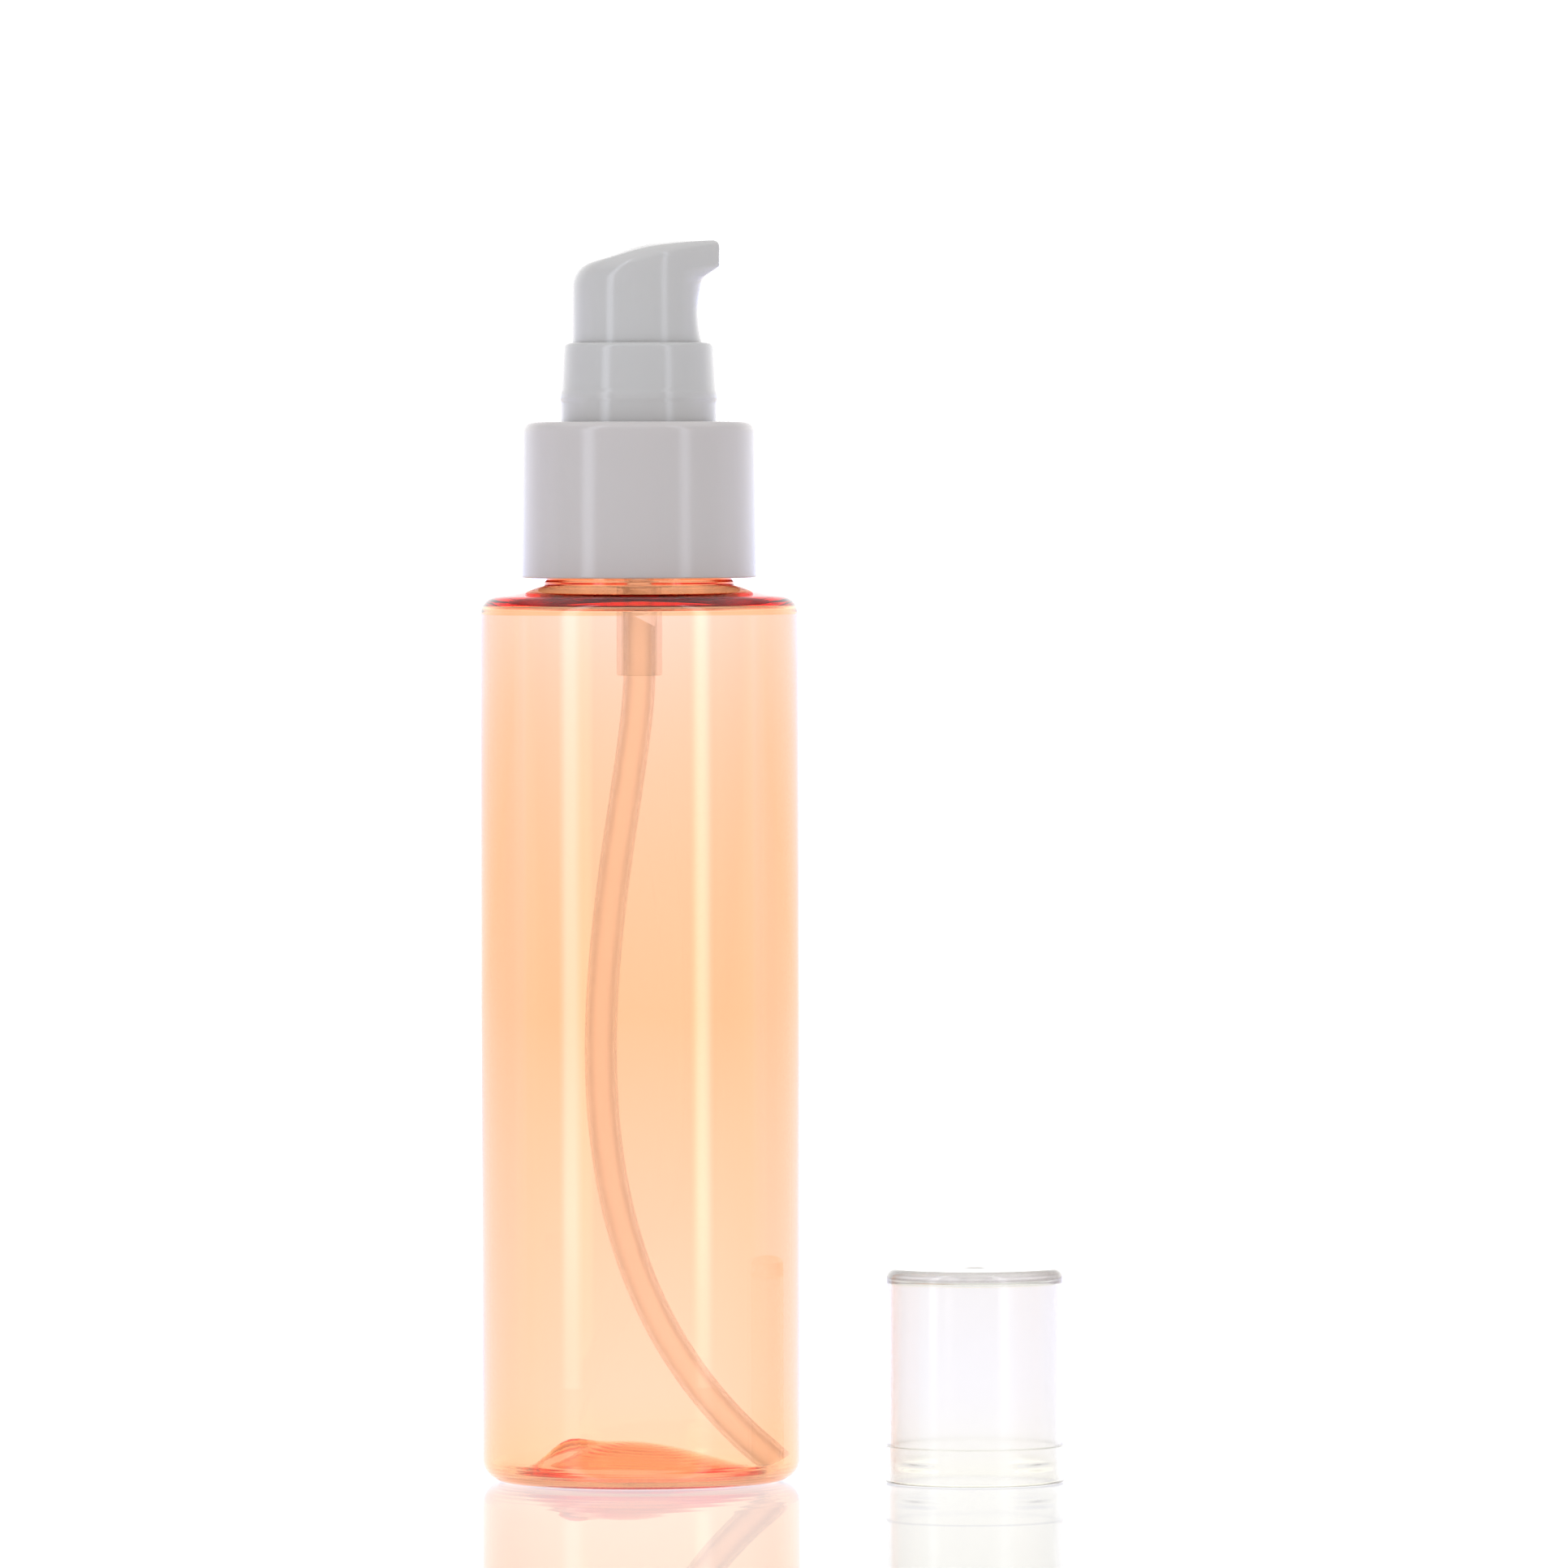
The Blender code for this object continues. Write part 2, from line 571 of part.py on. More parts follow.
def make_dip_tube():
    inner_r = BODY_R - BODY_WALL
    dip = math.atan2(TUBE_END_HANDLE[1], -TUBE_END_HANDLE[0])
    cut = dip + math.radians(TUBE_END_TILT)
    half_cut = TUBE_R / math.cos(math.radians(TUBE_END_TILT))
    end_x = inner_r - 2 * SEAT_GAP - half_cut * math.sin(cut)
    end_z = BASE_THICKNESS + 2 * SEAT_GAP + half_cut * math.cos(cut)
    end = Vector((end_x, end_z))
    along = Vector((math.cos(dip), -math.sin(dip)))
    start = Vector((0, SPIGOT_Z))
    handles = (start, start + Vector(TUBE_TOP_HANDLE), end + Vector(TUBE_END_HANDLE), end)
    steps = [i / TUBE_POINTS for i in range(TUBE_POINTS + 1)]
    bend = [bezier(handles, t) for t in steps]
    route = [Vector((0, SOCKET_Z - SEAT_GAP))] + bend + [end + along * TUBE_DIAMETER]
    path = [(place.x, 0, place.y) for place in route]
    tube = tube_mesh("dip_tube", path, TUBE_R, TUBE_SIDES, caps=False)
    wall = tube.modifiers.new("wall", "SOLIDIFY")
    wall.thickness = TUBE_WALL
    wall.offset = -1
    block = 2 * TUBE_DIAMETER
    facing = Vector((math.cos(cut), -math.sin(cut)))
    place = end + facing * block / 2
    knife = box_cutter("tube_end_cutter", block)
    knife.location = (place.x, 0, place.y)
    knife.rotation_euler = (0, cut, 0)
    boolean(tube, "DIFFERENCE", place_cutter(knife, bottle_axis))
    place_part(tube, bottle_axis, plastic("natural_pe_tube", "F4EFE8", 0.4, clear=0.6))


def bezier(handles, t):
    weights = ((1 - t) ** 3, 3 * (1 - t) ** 2 * t, 3 * (1 - t) * t**2, t**3)
    total = Vector((0, 0))
    for weight, handle in zip(weights, handles):
        total += weight * handle
    return total


def box_cutter(name, size):
    shape = bmesh.new()
    bmesh.ops.create_cube(shape, size=size)
    mesh = bpy.data.meshes.new(name)
    shape.to_mesh(mesh)
    shape.free()
    return bpy.data.objects.new(name, mesh)


def actuator_top(x, y):
    """Height of the finger pad: level over the spout, then an arc, then a straight slope to the back."""
    slope = math.radians(TOP_SLOPE)
    back = max(0.0, TOP_FLAT - x)
    arc_end = TOP_RADIUS * math.sin(slope)
    on_arc = min(back, arc_end)
    drop = TOP_RADIUS - math.sqrt(TOP_RADIUS**2 - on_arc**2) + (back - on_arc) * math.tan(slope)
    return ACTUATOR_TOP_Z - drop - TOP_CROWN * (y / ACTUATOR_R) ** 2


def actuator_angles():
    """Angles round the actuator, with points at the spout's corners and where its flanks leave the body."""
    corner = math.atan2(SPOUT_WIDTH / 2, SPOUT_REACH)
    tangent = corner + math.acos(ACTUATOR_R / math.hypot(SPOUT_WIDTH / 2, SPOUT_REACH))
    stretches = (
        (0, corner, SPOUT_STEPS),
        (corner, tangent, FLANK_STEPS),
        (tangent, math.pi, BACK_STEPS),
    )
    half = [a + (b - a) * i / count for a, b, count in stretches for i in range(count)]
    return half + [math.pi] + [-angle for angle in reversed(half[1:])], corner, tangent


def make_actuator():
    angles, corner, tangent = actuator_angles()
    hollow_mid = (SLEEVE_TOP_Z + SPOUT_ROOT_Z) / 2
    hollow_half = (SPOUT_ROOT_Z - SLEEVE_TOP_Z) / 2
    hollow_r = (hollow_half**2 + FRONT_HOLLOW**2) / (2 * FRONT_HOLLOW)

    def round_plan(angle, z):
        away = min(abs(z - hollow_mid), hollow_half)
        front = ACTUATOR_R - FRONT_HOLLOW + hollow_r - math.sqrt(hollow_r**2 - away**2)
        if ACTUATOR_R * math.cos(angle) <= front:
            return ACTUATOR_R
        return front / math.cos(angle)

    def spout_plan(angle):
        if abs(angle) <= corner:
            return SPOUT_REACH / math.cos(angle)
        if abs(angle) < tangent:
            return ACTUATOR_R / math.cos(tangent - abs(angle))
        return ACTUATOR_R

    def frontness(angle):
        """0 at the actuator's back, 1 at its front."""
        return (1 + math.cos(angle)) / 2

    def round_ring(z_back, z_front):
        ring = []
        for angle in angles:
            z = z_back + (z_front - z_back) * frontness(angle)
            r = round_plan(angle, z)
            ring.append((r * math.cos(angle), r * math.sin(angle), z))
        return ring

    def spout_ring(inset, drop, z_front=None):
        ring = []
        for angle in angles:
            r = spout_plan(angle) - inset
            x, y = r * math.cos(angle), r * math.sin(angle)
            z = actuator_top(x, y) - drop
            if z_front is not None:
                z += (z_front - actuator_top(SPOUT_REACH, 0) + drop) * frontness(angle) ** 2
            ring.append((x, y, z))
        return ring

    back_span = actuator_top(-ACTUATOR_R, 0) - 2 * TOP_EDGE - SLEEVE_TOP_Z
    levels = [i / (NECK_RINGS - 1) for i in range(NECK_RINGS)]
    backs = [SLEEVE_TOP_Z + back_span * level * NECK_RINGS / (NECK_RINGS + 1) for level in levels]
    fronts = [SLEEVE_TOP_Z + 2 * hollow_half * level for level in levels]
    bevel = TOP_EDGE * (1 - math.sqrt(0.5))
    rings = [round_ring(SKIRT_Z, SKIRT_Z)]
    rings += [round_ring(back, front) for back, front in zip(backs, fronts)]
    rings += [spout_ring(0, TOP_EDGE + SPOUT_BLEND, SPOUT_LIP_Z), spout_ring(0, TOP_EDGE)]
    rings += [spout_ring(bevel, bevel), spout_ring(TOP_EDGE, 0), spout_ring(ACTUATOR_R / 2, 0)]
    actuator = lofted("actuator", rings, (0, 0, actuator_top(0, 0)))
    hollow = [
        (0, ORIFICE_Z),
        (ORIFICE_DIAMETER / 2, ORIFICE_Z),
        (ORIFICE_DIAMETER / 2, STEM_TOP_Z + SEAT_GAP),
        (STEM_SOCKET_R, STEM_TOP_Z + SEAT_GAP),
        (STEM_SOCKET_R, SKIRT_Z + SEAT_GAP),
        (BOSS_R, SKIRT_Z + SEAT_GAP),
        (BOSS_R, CEILING_Z),
        (ACTUATOR_R - ACTUATOR_WALL, CEILING_Z),
        (ACTUATOR_R - ACTUATOR_WALL, SKIRT_Z - ACTUATOR_WALL),
        (0, SKIRT_Z - ACTUATOR_WALL),
    ]
    hollow_cutter = turned("hollow_cutter", hollow, FINE_STEPS)
    boolean(actuator, "DIFFERENCE", place_cutter(hollow_cutter, bottle_axis))
    orifice = cylinder("orifice_cutter", ORIFICE_DIAMETER / 2, 2 * SPOUT_REACH)
    orifice.location = (0, 0, ORIFICE_Z)
    boolean(actuator, "DIFFERENCE", place_cutter(orifice, bottle_axis))
    place_part(actuator, bottle_axis, plastic("white_pp_actuator", "F1EFEE", 0.25))


def lofted(name, rings, peak):
    """A closed form through rings of equal count, with a flat bottom and a peak point."""
    shape = bmesh.new()
    loops = [[shape.verts.new(place) for place in ring] for ring in rings]
    count = len(loops[0])
    for lower, upper in zip(loops, loops[1:]):
        for i in range(count):
            j = (i + 1) % count
            shape.faces.new((lower[i], lower[j], upper[j], upper[i]))
    top = shape.verts.new(peak)
    for i in range(count):
        shape.faces.new((loops[-1][i], loops[-1][(i + 1) % count], top))
    shape.faces.new(list(reversed(loops[0])))
    mesh = bpy.data.meshes.new(name)
    shape.to_mesh(mesh)
    shape.free()
    mesh.shade_smooth()
    return bpy.data.objects.new(name, mesh)


def make_overcap():
    wall_r = OVERCAP_BORE_R + OVERCAP_WALL
    band_r = wall_r + OVERCAP_DRAFT
    roof_z = OVERCAP_HEIGHT - OVERCAP_TOP
    outline = (
        [(0, OVERCAP_HEIGHT)]
        + arc(wall_r - OVERCAP_EDGE, OVERCAP_HEIGHT - OVERCAP_EDGE, OVERCAP_EDGE, 90, 0)
        + [(band_r, OVERCAP_BAND + OVERCAP_BAND_PROUD), (OVERCAP_R, OVERCAP_BAND), (OVERCAP_R, 0)]
        + [(OVERCAP_BORE_R, 0), (OVERCAP_BORE_R, roof_z), (0, roof_z)]
    )
    overcap = turned("overcap", outline, WIDE_STEPS)
    for index in range(SNAP_COUNT):
        middle = 360 * (index + 0.5) / SNAP_COUNT
        points = round(THREAD_POINTS / SNAP_COUNT * 360 / SNAP_SPAN)
        path = helix(OVERCAP_BORE_R, SNAP_RISE, 0, middle - SNAP_SPAN / 2, SNAP_SPAN / 360, points)
        rib = tube_mesh(f"snap_rib_{index + 1}", path, SNAP_DEPTH, RIB_SIDES, faded(len(path), fade=2))
        boolean(overcap, "UNION", place_cutter(rib, overcap_axis))
    place_part(overcap, overcap_axis, plastic("clear_pp_overcap", "F6F7F7", 0.1, clear=1.0))


clear_scene()
parts = new_collection("pump_oil_bottle")
cutters = new_collection("cutters")
bottle_axis = new_axis("bottle_axis", BOTTLE_AXIS)
overcap_axis = new_axis("overcap_axis", OVERCAP_AXIS)
make_bottle()
make_gasket()
make_housing()
make_inlet_ball()
make_chaplet()
make_stem()
make_plunger()
make_piston()
make_spring()
make_dip_tube()
make_sleeve()
make_collar()
make_actuator()
make_overcap()
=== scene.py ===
"""Looks of the pump oil bottle: smooth surfaces, materials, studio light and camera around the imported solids.

Metres, +Z up. The bottle's axis and the main heights come from the frame. Other sizes are the part's own,
apart from walls and edges that are set for the look.
"""

import math

import bmesh
import bpy
from mathutils import Matrix, Vector


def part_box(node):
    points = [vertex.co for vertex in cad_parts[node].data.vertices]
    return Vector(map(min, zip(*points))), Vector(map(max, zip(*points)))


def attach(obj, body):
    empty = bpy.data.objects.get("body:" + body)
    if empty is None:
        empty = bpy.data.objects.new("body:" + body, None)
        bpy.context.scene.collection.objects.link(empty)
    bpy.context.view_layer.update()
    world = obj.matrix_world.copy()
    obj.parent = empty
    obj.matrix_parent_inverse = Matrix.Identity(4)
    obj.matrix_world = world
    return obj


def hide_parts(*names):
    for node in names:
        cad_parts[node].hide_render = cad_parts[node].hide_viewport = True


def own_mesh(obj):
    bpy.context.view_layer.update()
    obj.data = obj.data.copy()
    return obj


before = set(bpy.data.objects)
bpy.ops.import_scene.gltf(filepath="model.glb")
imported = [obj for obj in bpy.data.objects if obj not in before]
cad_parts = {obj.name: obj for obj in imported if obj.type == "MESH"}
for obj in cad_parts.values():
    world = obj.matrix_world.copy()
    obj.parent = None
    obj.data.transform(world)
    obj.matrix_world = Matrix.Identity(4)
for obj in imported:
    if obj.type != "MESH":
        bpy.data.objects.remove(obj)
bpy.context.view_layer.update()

# Photograph and camera
IMAGE_WIDTH = 1931
IMAGE_HEIGHT = 1932
SENSOR = 0.036
FOCAL_PIXELS = 18000
CAMERA_PLACE = (0.00142, -1.722, 0.1222)
CAMERA_TILT = -1.333  # degrees from level
CAMERA_ROLL = -0.135
CLIP_NEAR = 0.1
CLIP_FAR = 500.0

# Fineness of the meshes
ROUND_STEPS = 160
SMALL_STEPS = 96
FILLET_STEPS = 8
THREAD_ROW = 0.00016  # between the rows of points that carry a thread
SMOOTH_ANGLE = 38.0  # degrees: sharper edges stay crisp
HOLD = 0.00012  # from an edge to the row of points that keeps the wall beside it flat
SAME_R = 1e-7  # radii this close are on the same wall

# Rounded edges: how far from its corner each one starts
EDGE_FINE = 0.0001
EDGE_SMALL = 0.00015
EDGE = 0.0002
EDGE_SOFT = 0.0003

# Bottle walls
DYE_DENSITY = 650.0  # per metre
BODY_WALL = 0.001
SHOULDER_Z = 0.1057
SHOULDER_SLOPE = 12.4  # degrees
SHOULDER_CUT = 0.0017
SHOULDER_WALL = 0.0013
SHOULDER_MID_R = 0.0142
SHOULDER_MID_WALL = 0.0016
SHOULDER_MID_CUT = 0.0006
SHOULDER_EDGE_WALL = 0.00115
SHOULDER_INNER_CUT = 0.00055
NECK_INNER_CUT = 0.0005
BASE_CUT = 0.00265
BASE_THICKNESS = 0.0008
FOOT_INNER_R = 0.0142
PUSH_UP = 0.0030
HILL_EXTRA = 0.0004  # of thickness at the middle of the pushed-up base
HILL_STEPS = 14
INNER_HILL_POWER = 1.2  # the higher, the more the hill's foot is hollowed
OUTER_HILL_POWER = 1.3
HILL_THICKENING = 0.0003
HILL_TILT = 0.0013  # thicker on the left than on the right
LUMP_X = -0.0095
LUMP_Y = 0.002
LUMP_WIDTH = 0.0032
LUMP_HEIGHT = 0.0024
NECK_R = 0.01095
NECK_BORE_R = 0.0093
RIM_PLAIN = 0.0004  # no thread this close to the rim
BEAD_R = 0.0112
BEAD_HEIGHT = 0.0004
BEAD_EDGE = 0.00012

# Screw thread shared by the neck and the collar
THREAD_PITCH = 0.003175
THREAD_TURNS = 1.5
THREAD_DEPTH = 0.00085
THREAD_HALF_WIDTH = 0.00085
THREAD_LEAD_IN = 0.0014
THREAD_FADE = 0.12  # of a turn, at each end
THREAD_FULLNESS = 0.75  # the lower, the fuller its section
COLLAR_THREAD_DROP = 0.5  # of a turn, below the neck's

# Collar and sleeve
COLLAR_BORE_R = 0.01215
COLLAR_TOP = 0.0012
COLLAR_DRAFT = 0.00012
COLLAR_EDGE = 0.0011
COLLAR_ROOF_EDGE = 0.0004
COLLAR_GAP = 0.0002
SLEEVE_FLANGE = 0.0009
SLEEVE_BORE_R = 0.00805
SLEEVE_R = 0.00919
SLEEVE_RIM_R = 0.00885
SLEEVE_BEAD_R = 0.00929
SLEEVE_BEAD_RISE = 0.0027
SLEEVE_BEAD_HEIGHT = 0.0008
SLEEVE_BEAD_LAND = 0.0001  # from its top down to its widest
SLEEVE_BEAD_ABOVE = 0.0004  # slope over it
SLEEVE_BEAD_BELOW = 0.00035  # slope under it
SLEEVE_WAIST = 0.00006  # narrower over the bead
SLEEVE_RIM_EDGE = 0.0006
WHITE_ROUGHNESS = 0.13  # of the white pieces that show

# Actuator
SPOUT_WIDTH = 0.006
SPOUT_ROOT_RISE = 0.0075  # over the sleeve
SPOUT_LIP_RISE = 0.009
SPOUT_ROOT_EDGE = 0.0005
SPOUT_LIP_EDGE = 0.00028
SPOUT_ROOT_GAP = 0.0006  # below the root, where the plain wall ends
WALL_ROWS = 12
CROWN_ROWS = 10
FRONT_HOLLOW = 0.00065
TOP_FLAT = 0.0043
TOP_RADIUS = 0.017
TOP_SLOPE = 20.0  # degrees
TOP_CROWN = 0.0009
TOP_EDGE_FRONT = 0.0008
TOP_EDGE_BACK = 0.0022
TOP_BAND = 0.0042  # beside the pad's edge, across and down
HOLLOW_BLEND = 18  # the higher, the crisper the hollow's edge
ORIFICE_R = 0.0007
ORIFICE_RISE = 0.0101  # over the sleeve
HOLLOW_R = 0.00685
CEILING_RISE = 0.0044  # over the sleeve
BOSS_R = 0.0032
BOSS_INSET = 0.0002  # of its end, in the skirt
STEM_SOCKET_R = 0.0022
STEM_SOCKET_DEPTH = 0.0072
CUT_OVERRUN = 0.001
ORIFICE_STEPS = 48

# Pump engine
HOUSING_R = 0.00415
BORE_R = 0.0034
HOUSING_FLANGE = 0.0008
SPIGOT_R = 0.00268
SPIGOT_LENGTH = 0.008
SOCKET_R = 0.0021
SOCKET_STOP = 0.0002  # from the spigot's root down to its socket's end
INLET_R = 0.001
POCKET_R = 0.00175
LIP_R = 0.0013
LIP_THICKNESS = 0.00035
LEDGE_RISE = 0.01216  # over the spigot's end
SEAT_RISE = 0.0087
GROOVE_RISES = (0.0026, 0.0050)  # over the spigot's end
GROOVE_DEPTH = 0.00004
GROOVE_HALF_WIDTH = 0.0002
VENT_R = 0.0004
VENT_STEPS = 24
HOUSING_VEIL = (0.12, 0.22)  # how solid its wall looks face on and edge on
STEM_R = 0.002
STEM_BORE_R = 0.0012
STEM_FLANGE = 0.0009
ROD_R = 0.001
HEAD_R = 0.0024
HEAD_EDGE = 0.0003
HEAD_CONE = 0.0014
HEAD_DIMPLE = 0.0003  # clear of a lifted ball
PISTON_LIP = 0.0005
PISTON_WAIST = 0.0005
PISTON_BORE_R = 0.00145
PISTON_SEAT = 0.0007
CHAPLET_DISC = 0.001
PLUG_R = 0.00325
GUIDE_R = 0.00215
GASKET_BORE_R = 0.00435
SPRING_R = 0.00405
SPRING_WIRE_R = 0.00035
SPRING_CURLS = 7
SPRING_END_CURLS = 0.55  # how much closer together the curls lie at its ends
SPRING_CURL_POINTS = 36
SPRING_SIDES = 14

# Dip tube
TUBE_R = 0.0019
TUBE_BORE_R = 0.00135
TUBE_TOP_HANDLE = (-0.0004, -0.0188)
TUBE_END_HANDLE = (-0.0332, 0.0265)
TUBE_END = (0.01587, 0.00216)
TUBE_END_TILT = 20.0  # degrees from a square cut
TUBE_TOP_TILT = 27.0
TUBE_TOP_DROP = 0.0009
TUBE_STEPS = 90
TUBE_SIDES = 40
TUBE_VEIL = (0.3, 0.22)  # how solid its wall looks face on and edge on

# Overcap
OVERCAP_BORE_R = 0.00975
OVERCAP_WALL = 0.0006
OVERCAP_TOP = 0.0012
OVERCAP_EDGE = 0.0011
OVERCAP_ROUGHNESS = 0.14
GATE_R = 0.0015
GATE_DEPTH = 0.0002
GATE_FLOOR = 0.7  # of its radius
OVERCAP_DRAFT = 0.0001
OVERCAP_BAND = 0.0043
OVERCAP_BAND_STEP = 0.0001
OVERCAP_ROOF_EDGE = 0.0006
SNAP_RISE = 0.0021
SNAP_DEPTH = 0.0002
SNAP_HALF_WIDTH = 0.0006
SNAP_SPAN = 42.0  # degrees
SNAP_COUNT = 4
SNAP_FADE = 18.0  # degrees, at each end of a rib
SNAP_ROW = 0.00008  # between the rows of points that carry a rib

# Table
TABLE_SIZE = 100.0
TABLE_DROP = 0.00005  # just clear of what stands on it
TABLE_MIRROR = 0.55
TABLE_GLOW_START = -1.0
TABLE_GLOW_END = 9.0
# Glow of the table at distances behind the bottle, in metres: dim in front, where it would light the pump
TABLE_GLOW = (
    (-0.6, (0.35, 0.35, 0.35)),
    (-0.15, (1.0, 1.0, 1.02)),
    (-0.02, (1.1, 1.1, 1.15)),
    (0.0, (1.5, 1.5, 1.6)),
    (0.15, (1.5, 1.5, 2.15)),
    (1.4, (1.2, 1.0, 0.9)),
    (8.5, (1.5, 1.7, 3.0)),
)

# Light of the room by direction: an axis, where along it a change starts and ends, and from what to what
ROOM_LIGHT = {
    "behind": ("Y", 0.25, 0.95, 0.36, 1.7),
    "lower": ("Z", 0.1, 0.6, 1.0, 0.5),
    "above": ("Z", 0.45, 0.85, 0.0, 0.9),
    "right": ("X", 0.2, 0.9, 0.0, 0.12),
}
# Soft boxes: degrees beside the camera, degrees wide, radiance
STRIP_LIGHTS = ((-49.0, 20.0, 2.7), (45.5, 17.0, 2.0))
STRIP_DISTANCE = 0.2
STRIP_HEIGHT = 0.45
STRIP_CORE = 0.1  # of its width, to each side of its middle, where it is brightest
STRIP_FADE = 0.06  # of its height, at its foot
STRIP_FOOT = 0.45  # of its light
BOUNCES = 128  # enough to leave a clear wall that is seen edge on

# Places from the frame
bottle_low, bottle_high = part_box("bottle")
collar_low, collar_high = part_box("collar")
sleeve_low, sleeve_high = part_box("snap_sleeve")
actuator_low, actuator_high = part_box("actuator")
housing_low, housing_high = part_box("pump_housing")
overcap_low, overcap_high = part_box("overcap")
BODY_R = (bottle_high.y - bottle_low.y) / 2
BOTTLE_AXIS = Vector((bottle_low.x + BODY_R, 0, 0))
OVERCAP_R = (overcap_high.y - overcap_low.y) / 2
OVERCAP_AXIS = Vector((overcap_high.x - OVERCAP_R, overcap_high.y - OVERCAP_R, 0))
OVERCAP_HEIGHT = overcap_high.z
COLLAR_R = (collar_high.y - collar_low.y) / 2
STACK_R = (sleeve_high.y - sleeve_low.y) / 2
ACTUATOR_R = (actuator_high.y - actuator_low.y) / 2
SPOUT_REACH = actuator_high.x - BOTTLE_AXIS.x
RIM_Z = bottle_high.z
SLEEVE_TOP_Z = sleeve_high.z
SKIRT_Z = actuator_low.z
ACTUATOR_TOP_Z = actuator_high.z
SPIGOT_Z = housing_low.z


def linear(hex_colour):
    """An sRGB hex colour as Blender's linear red, green, blue and alpha."""
    channels = [int(hex_colour[place : place + 2], 16) / 255 for place in (0, 2, 4)]
    return [c / 12.92 if c <= 0.04045 else ((c + 0.055) / 1.055) ** 2.4 for c in channels] + [1.0]


def add_node(tree, kind, settings=None, links=None):
    """A node with its settings, which are inputs or properties, and its links from other nodes' outputs."""
    node = tree.nodes.new(kind)
    for name, value in (settings or {}).items():
        if isinstance(name, int) or name in node.inputs:
            node.inputs[name].default_value = value
        else:
            setattr(node, name, value)
    for name, source in (links or {}).items():
        tree.links.new(source, node.inputs[name])
    return node


def per_mm(size):
    """The scale of a pattern in object coordinates whose features are size millimetres wide."""
    return 1000 / size


def new_material(name, settings):
    """A material with its Principled surface set, and its object coordinates for patterns."""
    material = bpy.data.materials.new(name)
    material.use_nodes = True
    tree = material.node_tree
    surface = tree.nodes["Principled BSDF"]
    for socket, value in settings.items():
        surface.inputs[socket].default_value = value
    place = add_node(tree, "ShaderNodeTexCoord").outputs["Object"]
    return material, tree, surface, place


def blown_pet():
    """Clear orange PET, stretch blown: glossy and glass-like, with slow waves in its thin wall.

    The dye is in the plastic, so the colour deepens where a line of sight runs along the wall.
    """
    material, tree, surface, place = new_material(
        "clear_orange_pet_blown",
        {"Base Color": linear("FFFFFF"), "Transmission Weight": 1.0, "IOR": 1.575, "Roughness": 0.015},
    )
    waves = add_node(
        tree,
        "ShaderNodeTexNoise",
        {"Scale": per_mm(14), "Detail": 1.0, "Roughness": 0.4},
        {"Vector": place},
    )
    bump = add_node(
        tree, "ShaderNodeBump", {"Strength": 0.05, "Distance": 0.0004}, {"Height": waves.outputs["Fac"]}
    )
    tree.links.new(bump.outputs["Normal"], surface.inputs["Normal"])
    dye = add_node(tree, "ShaderNodeVolumeAbsorption", {"Color": linear("FFC870"), "Density": DYE_DENSITY})
    tree.links.new(dye.outputs["Volume"], tree.nodes["Material Output"].inputs["Volume"])
    return material


def moulded_clear():
    """Clear injection-moulded styrene copolymer: water-clear, hard and glossy, greyer along its edges."""
    material, tree, surface, place = new_material(
        "clear_overcap_moulded",
        {
            "Base Color": linear("F1F0EA"),
            "Transmission Weight": 1.0,
            "IOR": 1.5,
            "Roughness": OVERCAP_ROUGHNESS,
        },
    )
    flow = add_node(
        tree,
        "ShaderNodeTexNoise",
        {"Scale": per_mm(9), "Detail": 1.0, "Roughness": 0.4},
        {"Vector": place},
    )
    bump = add_node(
        tree, "ShaderNodeBump", {"Strength": 0.04, "Distance": 0.0002}, {"Height": flow.outputs["Fac"]}
    )
    tree.links.new(bump.outputs["Normal"], surface.inputs["Normal"])
    tint = add_node(tree, "ShaderNodeVolumeAbsorption", {"Color": linear("E9E3DE"), "Density": 30.0})
    tree.links.new(tint.outputs["Volume"], tree.nodes["Material Output"].inputs["Volume"])
    return material


def moulded_white(name, hex_colour, roughness):
    """White polypropylene, injection moulded: satin gloss, a little light carried under the skin.

    A faint orange peel from the mould breaks up its highlights, drawn coarse enough to show.
    """
    material, tree, surface, place = new_material(
        name,
        {
            "Base Color": linear(hex_colour),
            "IOR": 1.52,
            "Subsurface Weight": 0.25,
            "Subsurface Radius": (1.0, 0.92, 0.88),
            "Subsurface Scale": 0.0018,
        },
    )
    patches = add_node(
        tree, "ShaderNodeTexNoise", {"Scale": per_mm(3), "Detail": 3.0}, {"Vector": place}
    )
    gloss = add_node(
        tree,
        "ShaderNodeMapRange",
        {"To Min": roughness - 0.03, "To Max": roughness + 0.03},
        {"Value": patches.outputs["Fac"]},
    )
    tree.links.new(gloss.outputs["Result"], surface.inputs["Roughness"])
    peel = add_node(tree, "ShaderNodeTexNoise", {"Scale": per_mm(0.7), "Detail": 2.0}, {"Vector": place})
    bump = add_node(
        tree, "ShaderNodeBump", {"Strength": 0.04, "Distance": 0.0001}, {"Height": peel.outputs["Fac"]}
    )
    tree.links.new(bump.outputs["Normal"], surface.inputs["Normal"])
    return material


